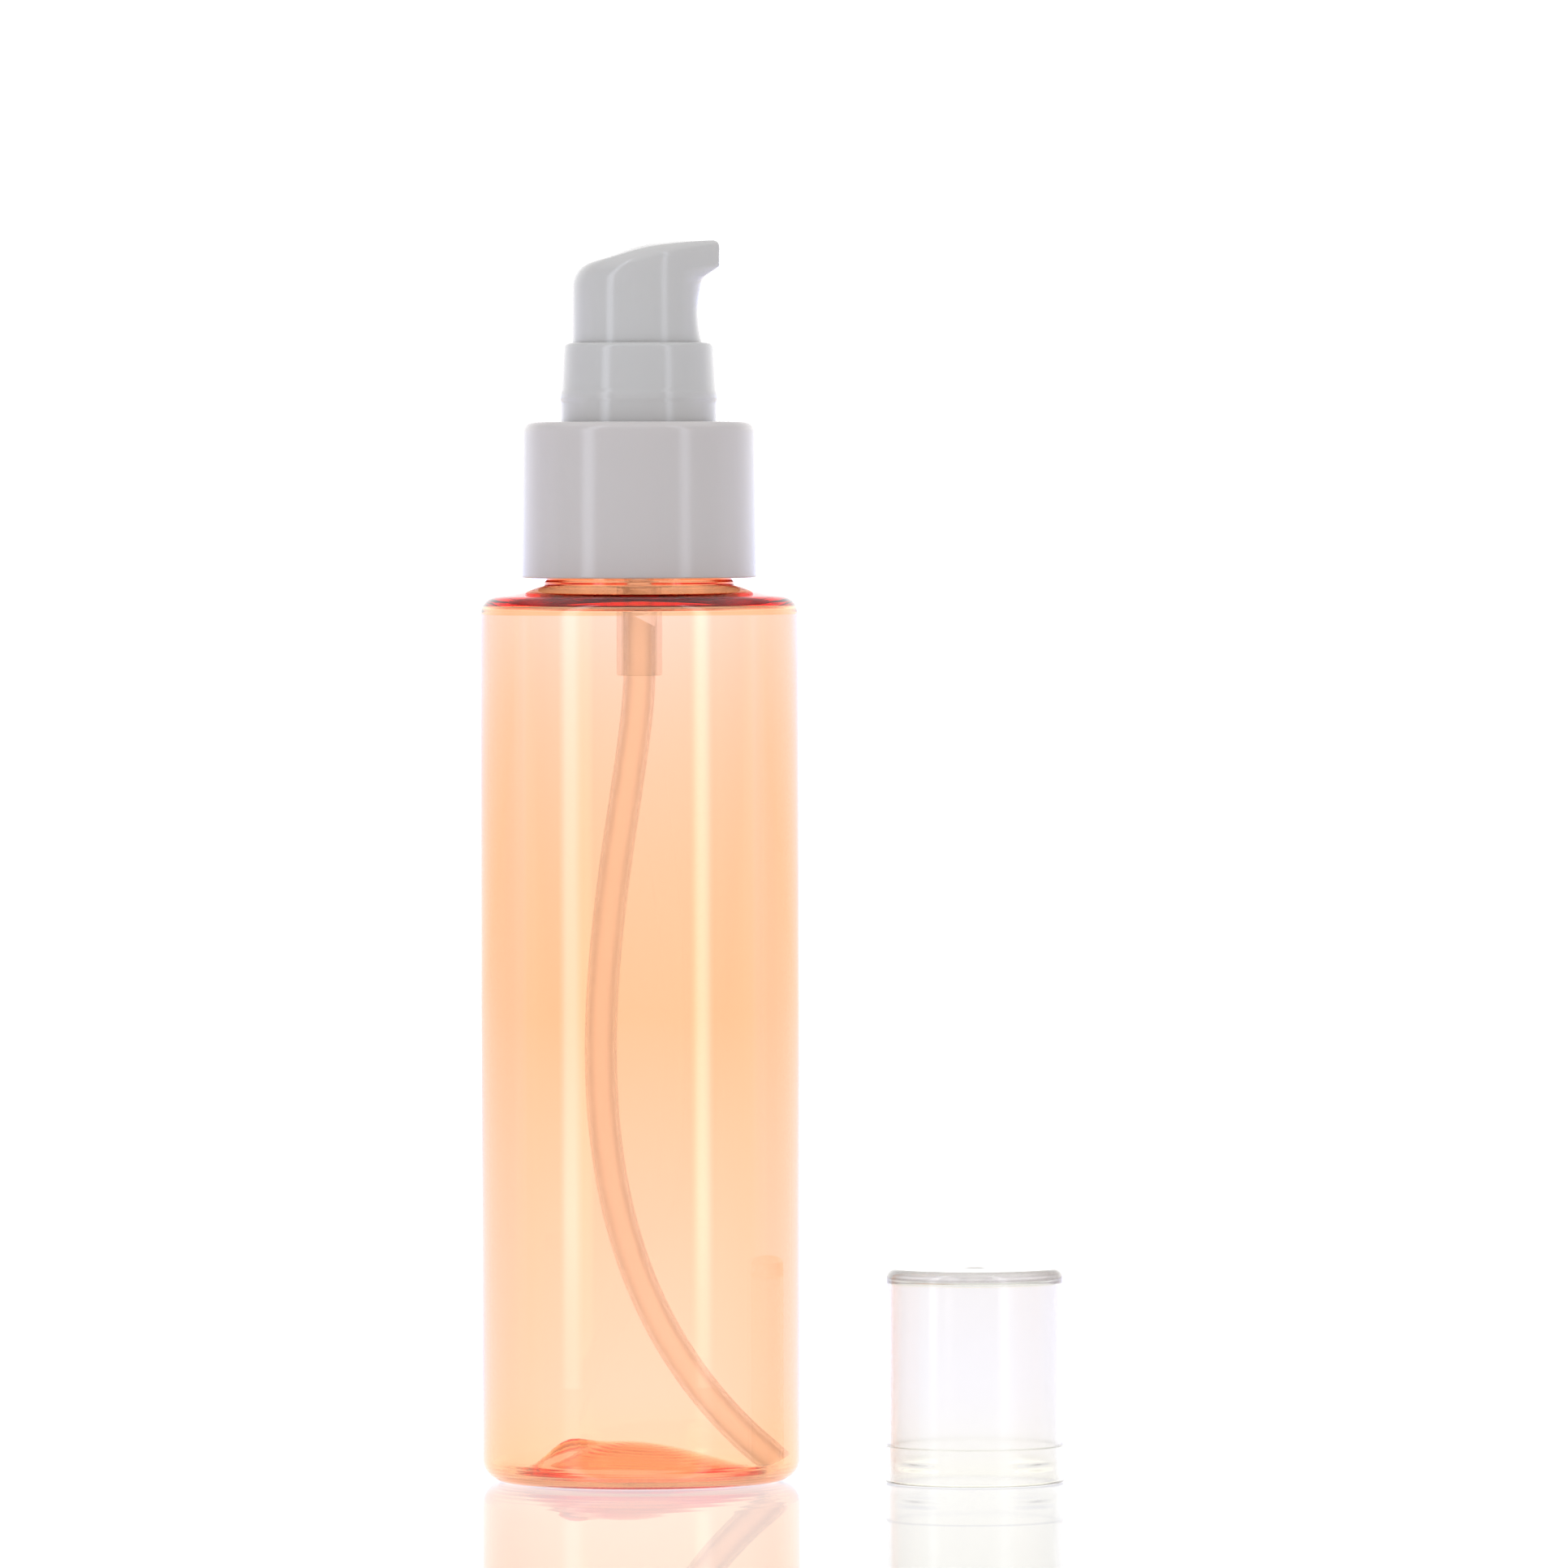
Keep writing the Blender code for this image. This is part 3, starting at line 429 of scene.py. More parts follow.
def natural_plastic(name, hex_colour, clear, roughness, veil=None):
    """Undyed polypropylene or polyethylene: milky, it lets light through but blurs what is behind it.

    A veil gives how solid a thin wall looks face on and edge on. The rest is seen straight through.
    """
    material, tree, surface, place = new_material(
        name,
        {"Base Color": linear(hex_colour), "Transmission Weight": clear, "IOR": 1.5},
    )
    clouds = add_node(
        tree, "ShaderNodeTexNoise", {"Scale": per_mm(4), "Detail": 2.0}, {"Vector": place}
    )
    gloss = add_node(
        tree,
        "ShaderNodeMapRange",
        {"To Min": roughness - 0.05, "To Max": roughness + 0.05},
        {"Value": clouds.outputs["Fac"]},
    )
    tree.links.new(gloss.outputs["Result"], surface.inputs["Roughness"])
    bump = add_node(
        tree, "ShaderNodeBump", {"Strength": 0.05, "Distance": 0.0001}, {"Height": clouds.outputs["Fac"]}
    )
    tree.links.new(bump.outputs["Normal"], surface.inputs["Normal"])
    if veil:
        facing = add_node(tree, "ShaderNodeLayerWeight", {"Blend": 0.5})
        solid = add_node(
            tree,
            "ShaderNodeMapRange",
            {"To Min": veil[0], "To Max": veil[1]},
            {"Value": facing.outputs["Facing"]},
        )
        tree.links.new(solid.outputs["Result"], surface.inputs["Alpha"])
    return material


def foamed_polyethylene():
    """Foamed polyethylene sheet: matt, pitted by its cells."""
    material, tree, surface, place = new_material(
        "foamed_pe_die_cut", {"Base Color": linear("E4E1DA"), "Roughness": 0.8, "IOR": 1.5}
    )
    cells = add_node(tree, "ShaderNodeTexVoronoi", {"Scale": per_mm(0.4)}, {"Vector": place})
    bump = add_node(
        tree, "ShaderNodeBump", {"Strength": 0.5, "Distance": 0.0001}, {"Height": cells.outputs["Distance"]}
    )
    tree.links.new(bump.outputs["Normal"], surface.inputs["Normal"])
    return material


def drawn_steel():
    """Stainless spring wire, drawn: bright, with fine streaks from the die."""
    material, tree, surface, place = new_material(
        "stainless_wire_drawn", {"Base Color": linear("C8C6C2"), "Metallic": 1.0}
    )
    streaks = add_node(
        tree, "ShaderNodeTexNoise", {"Scale": per_mm(0.3), "Detail": 4.0}, {"Vector": place}
    )
    gloss = add_node(
        tree,
        "ShaderNodeMapRange",
        {"To Min": 0.18, "To Max": 0.32},
        {"Value": streaks.outputs["Fac"]},
    )
    tree.links.new(gloss.outputs["Result"], surface.inputs["Roughness"])
    return material


def polished_glass():
    """Soda-lime glass, ground and polished: clear, with a slight green in its depth."""
    material, tree, surface, place = new_material(
        "soda_lime_glass_polished",
        {"Base Color": linear("FFFFFF"), "Transmission Weight": 1.0, "IOR": 1.52},
    )
    haze = add_node(tree, "ShaderNodeTexNoise", {"Scale": per_mm(0.5), "Detail": 2.0}, {"Vector": place})
    gloss = add_node(
        tree, "ShaderNodeMapRange", {"To Min": 0.0, "To Max": 0.04}, {"Value": haze.outputs["Fac"]}
    )
    tree.links.new(gloss.outputs["Result"], surface.inputs["Roughness"])
    tint = add_node(tree, "ShaderNodeVolumeAbsorption", {"Color": linear("DDEEE6"), "Density": 60.0})
    tree.links.new(tint.outputs["Volume"], tree.nodes["Material Output"].inputs["Volume"])
    return material


def filleted(corners):
    """Points along corners of (r, z, cut). An arc that starts cut away from a corner rounds it."""
    points = []
    count = len(corners)
    for index, (r, z, cut) in enumerate(corners):
        if cut == 0:
            points.append((r, z))
            continue
        corner = Vector((r, z))
        back = (Vector(corners[index - 1][:2]) - corner).normalized()
        on = (Vector(corners[(index + 1) % count][:2]) - corner).normalized()
        weight = math.sqrt(max(0.0, (1 - back.dot(on)) / 2))
        for step in range(FILLET_STEPS + 1):
            t = step / FILLET_STEPS
            shares = ((1 - t) ** 2, 2 * weight * t * (1 - t), t * t)
            place = shares[0] * (corner + back * cut) + shares[1] * corner + shares[2] * (corner + on * cut)
            points.append(tuple(place / sum(shares)))
    return points


def rows(r, z_start, z_end, spacing):
    """Points up or down a straight wall, close enough together to carry a raised form."""
    count = max(1, round(abs(z_end - z_start) / spacing))
    return [(r, z_start + (z_end - z_start) * i / count) for i in range(count + 1)]


def held(outline):
    """The outline with a point close to each end of its long straight stretches, so that they shade flat."""
    points = []
    closed = outline[0][0] > 0
    for index, start in enumerate(outline):
        points.append(start)
        if index + 1 == len(outline) and not closed:
            break
        end = outline[(index + 1) % len(outline)]
        length = math.dist(start, end)
        if length > 4 * HOLD:
            for share in (HOLD / length, 1 - HOLD / length):
                points.append(tuple(a + (b - a) * share for a, b in zip(start, end)))
    return points


def finish_mesh(name, shape, place):
    """A smooth object from a finished form."""
    bmesh.ops.recalc_face_normals(shape, faces=shape.faces)
    mesh = bpy.data.meshes.new(name)
    shape.to_mesh(mesh)
    shape.free()
    mesh.shade_smooth()
    mesh.set_sharp_from_angle(angle=math.radians(SMOOTH_ANGLE))
    piece = bpy.data.objects.new(name, mesh)
    piece.location = place
    bpy.context.scene.collection.objects.link(piece)
    return piece


def bridge(shape, lower, upper):
    """Faces between two rings, either of which may be a single point."""
    count = max(len(lower), len(upper))
    for i in range(count):
        j = (i + 1) % count
        corners = [lower[i % len(lower)], lower[j % len(lower)], upper[j % len(upper)], upper[i % len(upper)]]
        shape.faces.new(list(dict.fromkeys(corners)))


def turned(name, outline, place, steps=ROUND_STEPS, formed=None):
    """A turned piece. formed moves a point at an angle, radius and height to its own radius and height."""
    shape = bmesh.new()
    rings = []
    for r, z in held(outline):
        if r == 0:
            rings.append([shape.verts.new((0, 0, z))])
            continue
        ring = []
        for step in range(steps):
            angle = 2 * math.pi * step / steps
            out, up = formed(angle, r, z) if formed else (r, z)
            ring.append(shape.verts.new((out * math.cos(angle), out * math.sin(angle), up)))
        rings.append(ring)
    for lower, upper in zip(rings, rings[1:]):
        bridge(shape, lower, upper)
    if outline[0][0] > 0:
        bridge(shape, rings[-1], rings[0])
    return finish_mesh(name, shape, place)


def dress(piece, body, node, material):
    """The piece moves with its body, stands for its node and takes its material."""
    piece.data.materials.append(material)
    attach(piece, body)
    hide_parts(node)
    return piece


def thread_height(angle, z, bottom):
    """How far the screw thread stands out at an angle and height. It fades in and out at its ends."""
    tallest = 0.0
    start = angle / (2 * math.pi)
    for lap in range(math.ceil(THREAD_TURNS)):
        turn = start + lap
        fade = min(turn, THREAD_TURNS - turn) / THREAD_FADE
        away = (z - bottom - turn * THREAD_PITCH) / THREAD_HALF_WIDTH
        if fade > 0 and abs(away) < 1:
            tallest = max(tallest, THREAD_DEPTH * min(1.0, fade) * (1 - away**2) ** THREAD_FULLNESS)
    return tallest


def hill_lump(angle, r, hill_r):
    """How much thicker the pushed-up base is at a place: blown PET is left uneven there."""
    x, y = r * math.cos(angle), r * math.sin(angle)
    fall = 1 - (r / hill_r) ** 2
    lump = math.exp(-((x - LUMP_X) ** 2 + (y - LUMP_Y) ** 2) / LUMP_WIDTH**2)
    return fall**2 * (HILL_THICKENING - HILL_TILT * x / hill_r) + LUMP_HEIGHT * fall * lump


def make_bottle():
    slope = math.tan(math.radians(SHOULDER_SLOPE))
    bottom = RIM_Z - THREAD_LEAD_IN - THREAD_TURNS * THREAD_PITCH
    inner_r = BODY_R - BODY_WALL
    edge_z = SHOULDER_Z - slope * (BODY_R - NECK_R)
    inner_edge_z = edge_z + slope * BODY_WALL - SHOULDER_EDGE_WALL
    inner_mid_z = edge_z + slope * (BODY_R - SHOULDER_MID_R) - SHOULDER_MID_WALL
    inner_neck_z = SHOULDER_Z + slope * (NECK_R - NECK_BORE_R) - SHOULDER_WALL
    bead_foot_z = SHOULDER_Z - slope * (BEAD_R - NECK_R)
    bead_top_z = SHOULDER_Z + BEAD_HEIGHT
    hill_r = FOOT_INNER_R + BASE_THICKNESS
    hill = [i / HILL_STEPS for i in range(HILL_STEPS)]
    inner_rise = PUSH_UP + HILL_EXTRA
    inner_hill = [(hill_r * s, BASE_THICKNESS + inner_rise * (1 - s * s) ** INNER_HILL_POWER) for s in hill]
    outer_hill = [(FOOT_INNER_R * s, PUSH_UP * (1 - s * s) ** OUTER_HILL_POWER) for s in reversed(hill)]
    thread_low = bottom - THREAD_HALF_WIDTH
    thread_high = RIM_Z - RIM_PLAIN
    corners = [
        (hill_r, BASE_THICKNESS, 0.0),
        (inner_r, BASE_THICKNESS, BASE_CUT - BASE_THICKNESS),
        (inner_r, inner_edge_z, SHOULDER_INNER_CUT),
        (SHOULDER_MID_R, inner_mid_z, SHOULDER_MID_CUT),
        (NECK_BORE_R, inner_neck_z, NECK_INNER_CUT),
        (NECK_BORE_R, RIM_Z, EDGE),
        (NECK_R, RIM_Z, EDGE_SOFT),
        (NECK_R, thread_high, 0.0),
    ]
    lower = [
        (NECK_R, thread_low, 0.0),
        (NECK_R, bead_top_z, EDGE),
        (BEAD_R, bead_top_z, BEAD_EDGE),
        (BEAD_R, bead_foot_z, BEAD_EDGE),
        (BODY_R, edge_z, SHOULDER_CUT),
        (BODY_R, 0.0, BASE_CUT),
        (FOOT_INNER_R, 0.0, 0.0),
    ]
    outline = (
        inner_hill
        + filleted(corners)
        + rows(NECK_R, thread_high, thread_low, THREAD_ROW)[1:-1]
        + filleted(lower)
        + outer_hill
    )

    def formed(angle, r, z):
        if abs(r - NECK_R) < SAME_R and thread_low < z < thread_high:
            return r + thread_height(angle, z, bottom), z
        if r < hill_r and BASE_THICKNESS < z < 2 * PUSH_UP:
            return r, z + hill_lump(angle, r, hill_r)
        return r, z

    bottle = turned("bottle_shell", outline, BOTTLE_AXIS, formed=formed)
    dress(bottle, "bottle", "bottle", blown_pet())


def make_collar():
    bottom = RIM_Z - THREAD_LEAD_IN - (THREAD_TURNS + COLLAR_THREAD_DROP) * THREAD_PITCH
    low, high = collar_low.z, collar_high.z
    hole_r = SLEEVE_R + COLLAR_GAP
    thread_low = bottom - THREAD_HALF_WIDTH
    thread_high = bottom + THREAD_TURNS * THREAD_PITCH + THREAD_HALF_WIDTH
    corners = [
        (hole_r, high, EDGE_SMALL),
        (COLLAR_R - COLLAR_DRAFT, high, COLLAR_EDGE),
        (COLLAR_R, low, EDGE),
        (COLLAR_BORE_R, low, EDGE_SOFT),
        (COLLAR_BORE_R, thread_low, 0.0),
    ]
    roof = [
        (COLLAR_BORE_R, thread_high, 0.0),
        (COLLAR_BORE_R, high - COLLAR_TOP, COLLAR_ROOF_EDGE),
        (hole_r, high - COLLAR_TOP, 0.0),
    ]
    outline = (
        filleted(corners) + rows(COLLAR_BORE_R, thread_low, thread_high, THREAD_ROW)[1:-1] + filleted(roof)
    )

    def formed(angle, r, z):
        if abs(r - COLLAR_BORE_R) < SAME_R and thread_low < z < thread_high:
            return r - thread_height(angle, z, bottom), z
        return r, z

    collar = turned("collar_cap", outline, BOTTLE_AXIS, formed=formed)
    material = moulded_white("white_pp_collar", "E4DEDC", WHITE_ROUGHNESS)
    dress(collar, "collar", "collar", material)


def make_sleeve():
    low, high = sleeve_low.z, sleeve_high.z
    bead_z = collar_high.z + SLEEVE_BEAD_RISE
    bead_top = bead_z + SLEEVE_BEAD_HEIGHT
    outline = filleted(
        [
            (SLEEVE_BORE_R, high, EDGE_FINE),
            (SLEEVE_RIM_R, high, SLEEVE_RIM_EDGE),
            (SLEEVE_R - SLEEVE_WAIST, bead_top + SLEEVE_BEAD_ABOVE, EDGE),
            (SLEEVE_BEAD_R, bead_top - SLEEVE_BEAD_LAND, EDGE),
            (SLEEVE_BEAD_R, bead_z, EDGE_SMALL),
            (SLEEVE_R, bead_z - SLEEVE_BEAD_BELOW, EDGE),
            (SLEEVE_R, low + SLEEVE_FLANGE, EDGE),
            (STACK_R, low + SLEEVE_FLANGE, EDGE_SMALL),
            (STACK_R, low, EDGE_SMALL),
            (SLEEVE_BORE_R, low, EDGE),
        ]
    )
    sleeve = turned("sleeve", outline, BOTTLE_AXIS)
    material = moulded_white("white_pp_sleeve", "E1DFDD", WHITE_ROUGHNESS)
    dress(sleeve, "pump", "snap_sleeve", material)


def top_height(x, y):
    """Height of the finger pad: level over the spout, then an arc, then a straight slope to the back."""
    slope = math.radians(TOP_SLOPE)
    back = max(0.0, TOP_FLAT - x)
    on_arc = min(back, TOP_RADIUS * math.sin(slope))
    drop = TOP_RADIUS - math.sqrt(TOP_RADIUS**2 - on_arc**2) + (back - on_arc) * math.tan(slope)
    return ACTUATOR_TOP_Z - drop - TOP_CROWN * (y / ACTUATOR_R) ** 2


def make_actuator():
    root_z = SLEEVE_TOP_Z + SPOUT_ROOT_RISE
    lip_z = SLEEVE_TOP_Z + SPOUT_LIP_RISE
    corner = math.atan2(SPOUT_WIDTH / 2, SPOUT_REACH)
    tangent = corner + math.acos(ACTUATOR_R / math.hypot(SPOUT_WIDTH / 2, SPOUT_REACH))
    hollow_mid = (SLEEVE_TOP_Z + root_z) / 2
    hollow_half = (root_z - SLEEVE_TOP_Z) / 2
    hollow_r = (hollow_half**2 + FRONT_HOLLOW**2) / (2 * FRONT_HOLLOW)

    def body_r(angle, z):
        away = min(abs(z - hollow_mid), hollow_half)
        front = ACTUATOR_R - FRONT_HOLLOW + hollow_r - math.sqrt(hollow_r**2 - away**2)
        across = max(0.0, math.cos(angle)) / front
        return (ACTUATOR_R**-HOLLOW_BLEND + across**HOLLOW_BLEND) ** (-1 / HOLLOW_BLEND)

    def spout_r(angle):
        if abs(angle) <= corner:
            return SPOUT_REACH / math.cos(angle)
        if abs(angle) < tangent:
            return ACTUATOR_R / math.cos(tangent - abs(angle))
        return ACTUATOR_R

    def profile(angle):
        frontness = (1 + math.cos(angle)) / 2
        outer = spout_r(angle)
        inner = outer - TOP_BAND
        x, y = math.cos(angle), math.sin(angle)
        edge_z = top_height(outer * x, outer * y)
        edge_cut = TOP_EDGE_BACK + (TOP_EDGE_FRONT - TOP_EDGE_BACK) * frontness**2
        back_lip = edge_z - TOP_BAND
        this_lip = back_lip + (lip_z - back_lip) * frontness**2
        back_root = back_lip - (lip_z - root_z)
        this_root = back_root + (root_z - back_root) * frontness
        wall = [(ACTUATOR_R, SKIRT_Z)]
        for i in range(WALL_ROWS + 1):
            z = SLEEVE_TOP_Z + (this_root - SPOUT_ROOT_GAP - SLEEVE_TOP_Z) * i / WALL_ROWS
            wall.append((body_r(angle, z), z))
        root = body_r(angle, this_root)
        corners = [
            (*wall[-1], 0.0),
            (root, this_root, SPOUT_ROOT_EDGE),
            (outer, this_lip, SPOUT_LIP_EDGE),
            (outer, edge_z, edge_cut),
            (inner, top_height(inner * x, inner * y), 0.0),
        ]
        crown = []
        for i in range(1, CROWN_ROWS):
            r = inner * (1 - i / CROWN_ROWS)
            crown.append((r, top_height(r * x, r * y)))
        return wall + filleted(corners)[1:] + crown

    steps = ROUND_STEPS
    profiles = [profile(math.remainder(2 * math.pi * s / steps, 2 * math.pi)) for s in range(steps)]
    shape = bmesh.new()
    rings = []
    for level in range(len(profiles[0])):
        ring = []
        for step, points in enumerate(profiles):
            angle = 2 * math.pi * step / steps
            r, z = points[level]
            ring.append(shape.verts.new((r * math.cos(angle), r * math.sin(angle), z)))
        rings.append(ring)
    rings.append([shape.verts.new((0, 0, top_height(0, 0)))])
    for lower, upper in zip(rings, rings[1:]):
        bridge(shape, lower, upper)
    shape.faces.new(rings[0])
    actuator = finish_mesh("actuator_head", shape, BOTTLE_AXIS)
    orifice_z = SLEEVE_TOP_Z + ORIFICE_RISE
    ceiling_z = SLEEVE_TOP_Z + CEILING_RISE
    socket_z = SKIRT_Z + STEM_SOCKET_DEPTH
    boss_z = SKIRT_Z + BOSS_INSET
    below = SKIRT_Z - CUT_OVERRUN
    hollow = [
        (0, orifice_z),
        (ORIFICE_R, orifice_z),
        (ORIFICE_R, socket_z),
        (STEM_SOCKET_R, socket_z),
        (STEM_SOCKET_R, boss_z),
        (BOSS_R, boss_z),
        (BOSS_R, ceiling_z),
        (HOLLOW_R, ceiling_z),
        (HOLLOW_R, below),
        (0, below),
    ]
    cut(actuator, turned("hollow_cutter", hollow, BOTTLE_AXIS, SMALL_STEPS))
    bore = [(0, 0), (ORIFICE_R, 0), (ORIFICE_R, 2 * SPOUT_REACH), (0, 2 * SPOUT_REACH)]
    channel = turned("orifice_cutter", bore, BOTTLE_AXIS + Vector((0, 0, orifice_z)), ORIFICE_STEPS)
    channel.rotation_euler = (0, math.pi / 2, 0)
    cut(actuator, channel)
    material = moulded_white("white_pp_actuator", "E1DFDD", WHITE_ROUGHNESS)
    dress(actuator, "actuator", "actuator", material)


def cut(piece, cutter):
    """Cuts one piece with another, which is then removed."""
    bpy.context.view_layer.update()
    boolean = piece.modifiers.new("cut", "BOOLEAN")
    boolean.operation = "DIFFERENCE"
    boolean.object = cutter
    boolean.solver = "EXACT"
    graph = bpy.context.evaluated_depsgraph_get()
    mesh = bpy.data.meshes.new_from_object(piece.evaluated_get(graph))
    piece.modifiers.remove(boolean)
    piece.data = mesh
    mesh.shade_smooth()
    mesh.set_sharp_from_angle(angle=math.radians(SMOOTH_ANGLE))
    bpy.data.objects.remove(cutter)


def make_housing():
    top = housing_high.z
    ledge_z = SPIGOT_Z + LEDGE_RISE
    seat_z = SPIGOT_Z + SEAT_RISE
    socket_z = SPIGOT_Z + SPIGOT_LENGTH - SOCKET_STOP
    grooves = []
    for rise in GROOVE_RISES:
        z = SPIGOT_Z + rise
        grooves += [
            (SOCKET_R, z - GROOVE_HALF_WIDTH, 0.0),
            (SOCKET_R + GROOVE_DEPTH, z, 0.0),
            (SOCKET_R, z + GROOVE_HALF_WIDTH, 0.0),
        ]
    outline = filleted(
        [
            (BORE_R, top, EDGE),
            (STACK_R, top, EDGE_FINE),
            (STACK_R, top - HOUSING_FLANGE, EDGE_FINE),
            (HOUSING_R, top - HOUSING_FLANGE, EDGE_SOFT),
            (HOUSING_R, SPIGOT_Z + SPIGOT_LENGTH, EDGE_SOFT),
            (SPIGOT_R, SPIGOT_Z + SPIGOT_LENGTH, EDGE_SOFT),
            (SPIGOT_R, SPIGOT_Z, EDGE_SOFT),
            (SOCKET_R, SPIGOT_Z, EDGE_SMALL),
            *grooves,
            (SOCKET_R, socket_z, 0.0),
            (INLET_R, socket_z, 0.0),
            (INLET_R, seat_z, 0.0),
            (POCKET_R, seat_z + POCKET_R - INLET_R, 0.0),
            (POCKET_R, ledge_z - LIP_THICKNESS, 0.0),
            (LIP_R, ledge_z - LIP_THICKNESS, EDGE_FINE),
            (LIP_R, ledge_z, EDGE_FINE),
            (BORE_R, ledge_z, EDGE),
        ]
    )
    housing = turned("pump_barrel", outline, BOTTLE_AXIS, SMALL_STEPS)
    plug_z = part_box("chaplet")[0].z
    vent = [(0, 0), (VENT_R, 0), (VENT_R, 2 * HOUSING_R), (0, 2 * HOUSING_R)]
    drill = turned("vent_cutter", vent, BOTTLE_AXIS + Vector((0, 0, plug_z - 2 * VENT_R)), VENT_STEPS)
    drill.rotation_euler = (0, math.pi / 2, 0)
    cut(housing, drill)
    material = natural_plastic("natural_pp_moulded", "FFF8F0", clear=1.0, roughness=0.45, veil=HOUSING_VEIL)
    dress(housing, "pump", "pump_housing", material)


def make_engine():
    """The chaplet, stem, plunger, piston, gasket and ball, in the places of their nodes."""
    chaplet_low, chaplet_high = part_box("chaplet")
    disc_r = (chaplet_high.y - chaplet_low.y) / 2
    disc_z = chaplet_high.z - CHAPLET_DISC
    chaplet = filleted(
        [
            (GUIDE_R, chaplet_high.z, EDGE_FINE),
            (disc_r, chaplet_high.z, EDGE),
            (disc_r, disc_z, EDGE_FINE),
            (PLUG_R, disc_z, EDGE),
            (PLUG_R, chaplet_low.z, EDGE_SOFT),
            (GUIDE_R, chaplet_low.z, EDGE_FINE),
        ]
    )
    stem_low, stem_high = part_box("stem")
    flange_r = (stem_high.y - stem_low.y) / 2
    flange_z = stem_low.z + STEM_FLANGE
    stem = filleted(
        [
            (STEM_BORE_R, stem_high.z, EDGE_FINE),
            (STEM_R, stem_high.z, EDGE_SOFT),
            (STEM_R, flange_z, EDGE),
            (flange_r, flange_z, EDGE_FINE),
            (flange_r, stem_low.z, EDGE_FINE),
            (STEM_BORE_R, stem_low.z, EDGE_FINE),
        ]
    )
    plunger_low, plunger_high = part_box("plunger")
    edge_z = plunger_low.z + HEAD_EDGE
    plunger = [(0, plunger_high.z)] + filleted(
        [
            (0, plunger_high.z, 0.0),
            (ROD_R, plunger_high.z, EDGE),
            (ROD_R, edge_z + HEAD_CONE, EDGE),
            (HEAD_R, edge_z, EDGE_FINE),
            (HEAD_R, plunger_low.z, EDGE_FINE),
            (LIP_R, plunger_low.z, EDGE_FINE),
            (0, plunger_low.z + HEAD_DIMPLE, 0.0),
        ]
    )[1:]
    piston_low, piston_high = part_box("piston")
    lip_r = (piston_high.y - piston_low.y) / 2
    waist_r = lip_r - PISTON_WAIST
    piston = filleted(
        [
            (PISTON_BORE_R, piston_high.z, EDGE_FINE),
            (lip_r, piston_high.z, EDGE_FINE),
            (lip_r, piston_high.z - PISTON_LIP, EDGE_FINE),
            (waist_r, piston_high.z - 2 * PISTON_LIP, EDGE),
            (waist_r, piston_low.z + 2 * PISTON_LIP, EDGE),
            (lip_r, piston_low.z + PISTON_LIP, EDGE_FINE),
            (lip_r, piston_low.z, EDGE_FINE),
            (PISTON_BORE_R + PISTON_SEAT, piston_low.z, EDGE_FINE),
            (PISTON_BORE_R, piston_low.z + PISTON_SEAT, EDGE_FINE),
        ]
    )
    gasket_low, gasket_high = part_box("gasket")
    ring_r = (gasket_high.y - gasket_low.y) / 2
    gasket = filleted(
        [
            (GASKET_BORE_R, gasket_high.z, EDGE_FINE),
            (ring_r, gasket_high.z, EDGE_FINE),
            (ring_r, gasket_low.z, EDGE_FINE),
            (GASKET_BORE_R, gasket_low.z, EDGE_FINE),
        ]
    )
    white_pp = moulded_white("white_pp_chaplet", "E8E6E2", roughness=0.3)
    natural_pp = natural_plastic("natural_pp_stem", "EFEAE2", clear=0.4, roughness=0.3)
    acetal = natural_plastic("acetal_moulded", "EEEBE4", clear=0.1, roughness=0.3)
    soft_pe = natural_plastic("pe_piston", "ECE8E0", clear=0.3, roughness=0.4)
    foam = foamed_polyethylene()
    pieces = (
        ("stem_guide", chaplet, "pump", "chaplet", "white_plastic", white_pp),
        ("hollow_stem", stem, "stem", "stem", "natural_plastic", natural_pp),
        ("valve_rod", plunger, "stem", "plunger", "natural_plastic", acetal),
        ("pump_piston", piston, "piston", "piston", "natural_plastic", soft_pe),
        ("neck_gasket", gasket, "pump", "gasket", "gasket_foam", foam),
    )
    for name, outline, body, node, slot, material in pieces:
        dress(turned(name, outline, BOTTLE_AXIS, SMALL_STEPS), body, node, material)
    ball_low, ball_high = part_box("inlet_ball")
    shape = bmesh.new()
    bmesh.ops.create_icosphere(shape, subdivisions=4, radius=(ball_high.z - ball_low.z) / 2)
    ball = finish_mesh("check_ball", shape, BOTTLE_AXIS + Vector((0, 0, (ball_low.z + ball_high.z) / 2)))
    dress(ball, "inlet_ball", "inlet_ball", polished_glass())


def swept(name, centres, sides, radii, place):
    """A round tube along centres of (point, across, up). A second radius gives it a bore."""
    shape = bmesh.new()
    rings = {}
    for which, radius in enumerate(radii):
        rings[which] = []
        for point, across, up in centres:
            ring = []
            for step in range(sides):
                angle = 2 * math.pi * step / sides
                ring.append(
                    shape.verts.new(point + radius * (math.cos(angle) * across + math.sin(angle) * up))
                )
            rings[which].append(ring)
        for lower, upper in zip(rings[which], rings[which][1:]):
            bridge(shape, lower, upper)
    for end in (0, -1):
        if len(radii) == 2:
            bridge(shape, rings[0][end], rings[1][end])
        else:
            shape.faces.new(rings[0][end])
    return finish_mesh(name, shape, place)


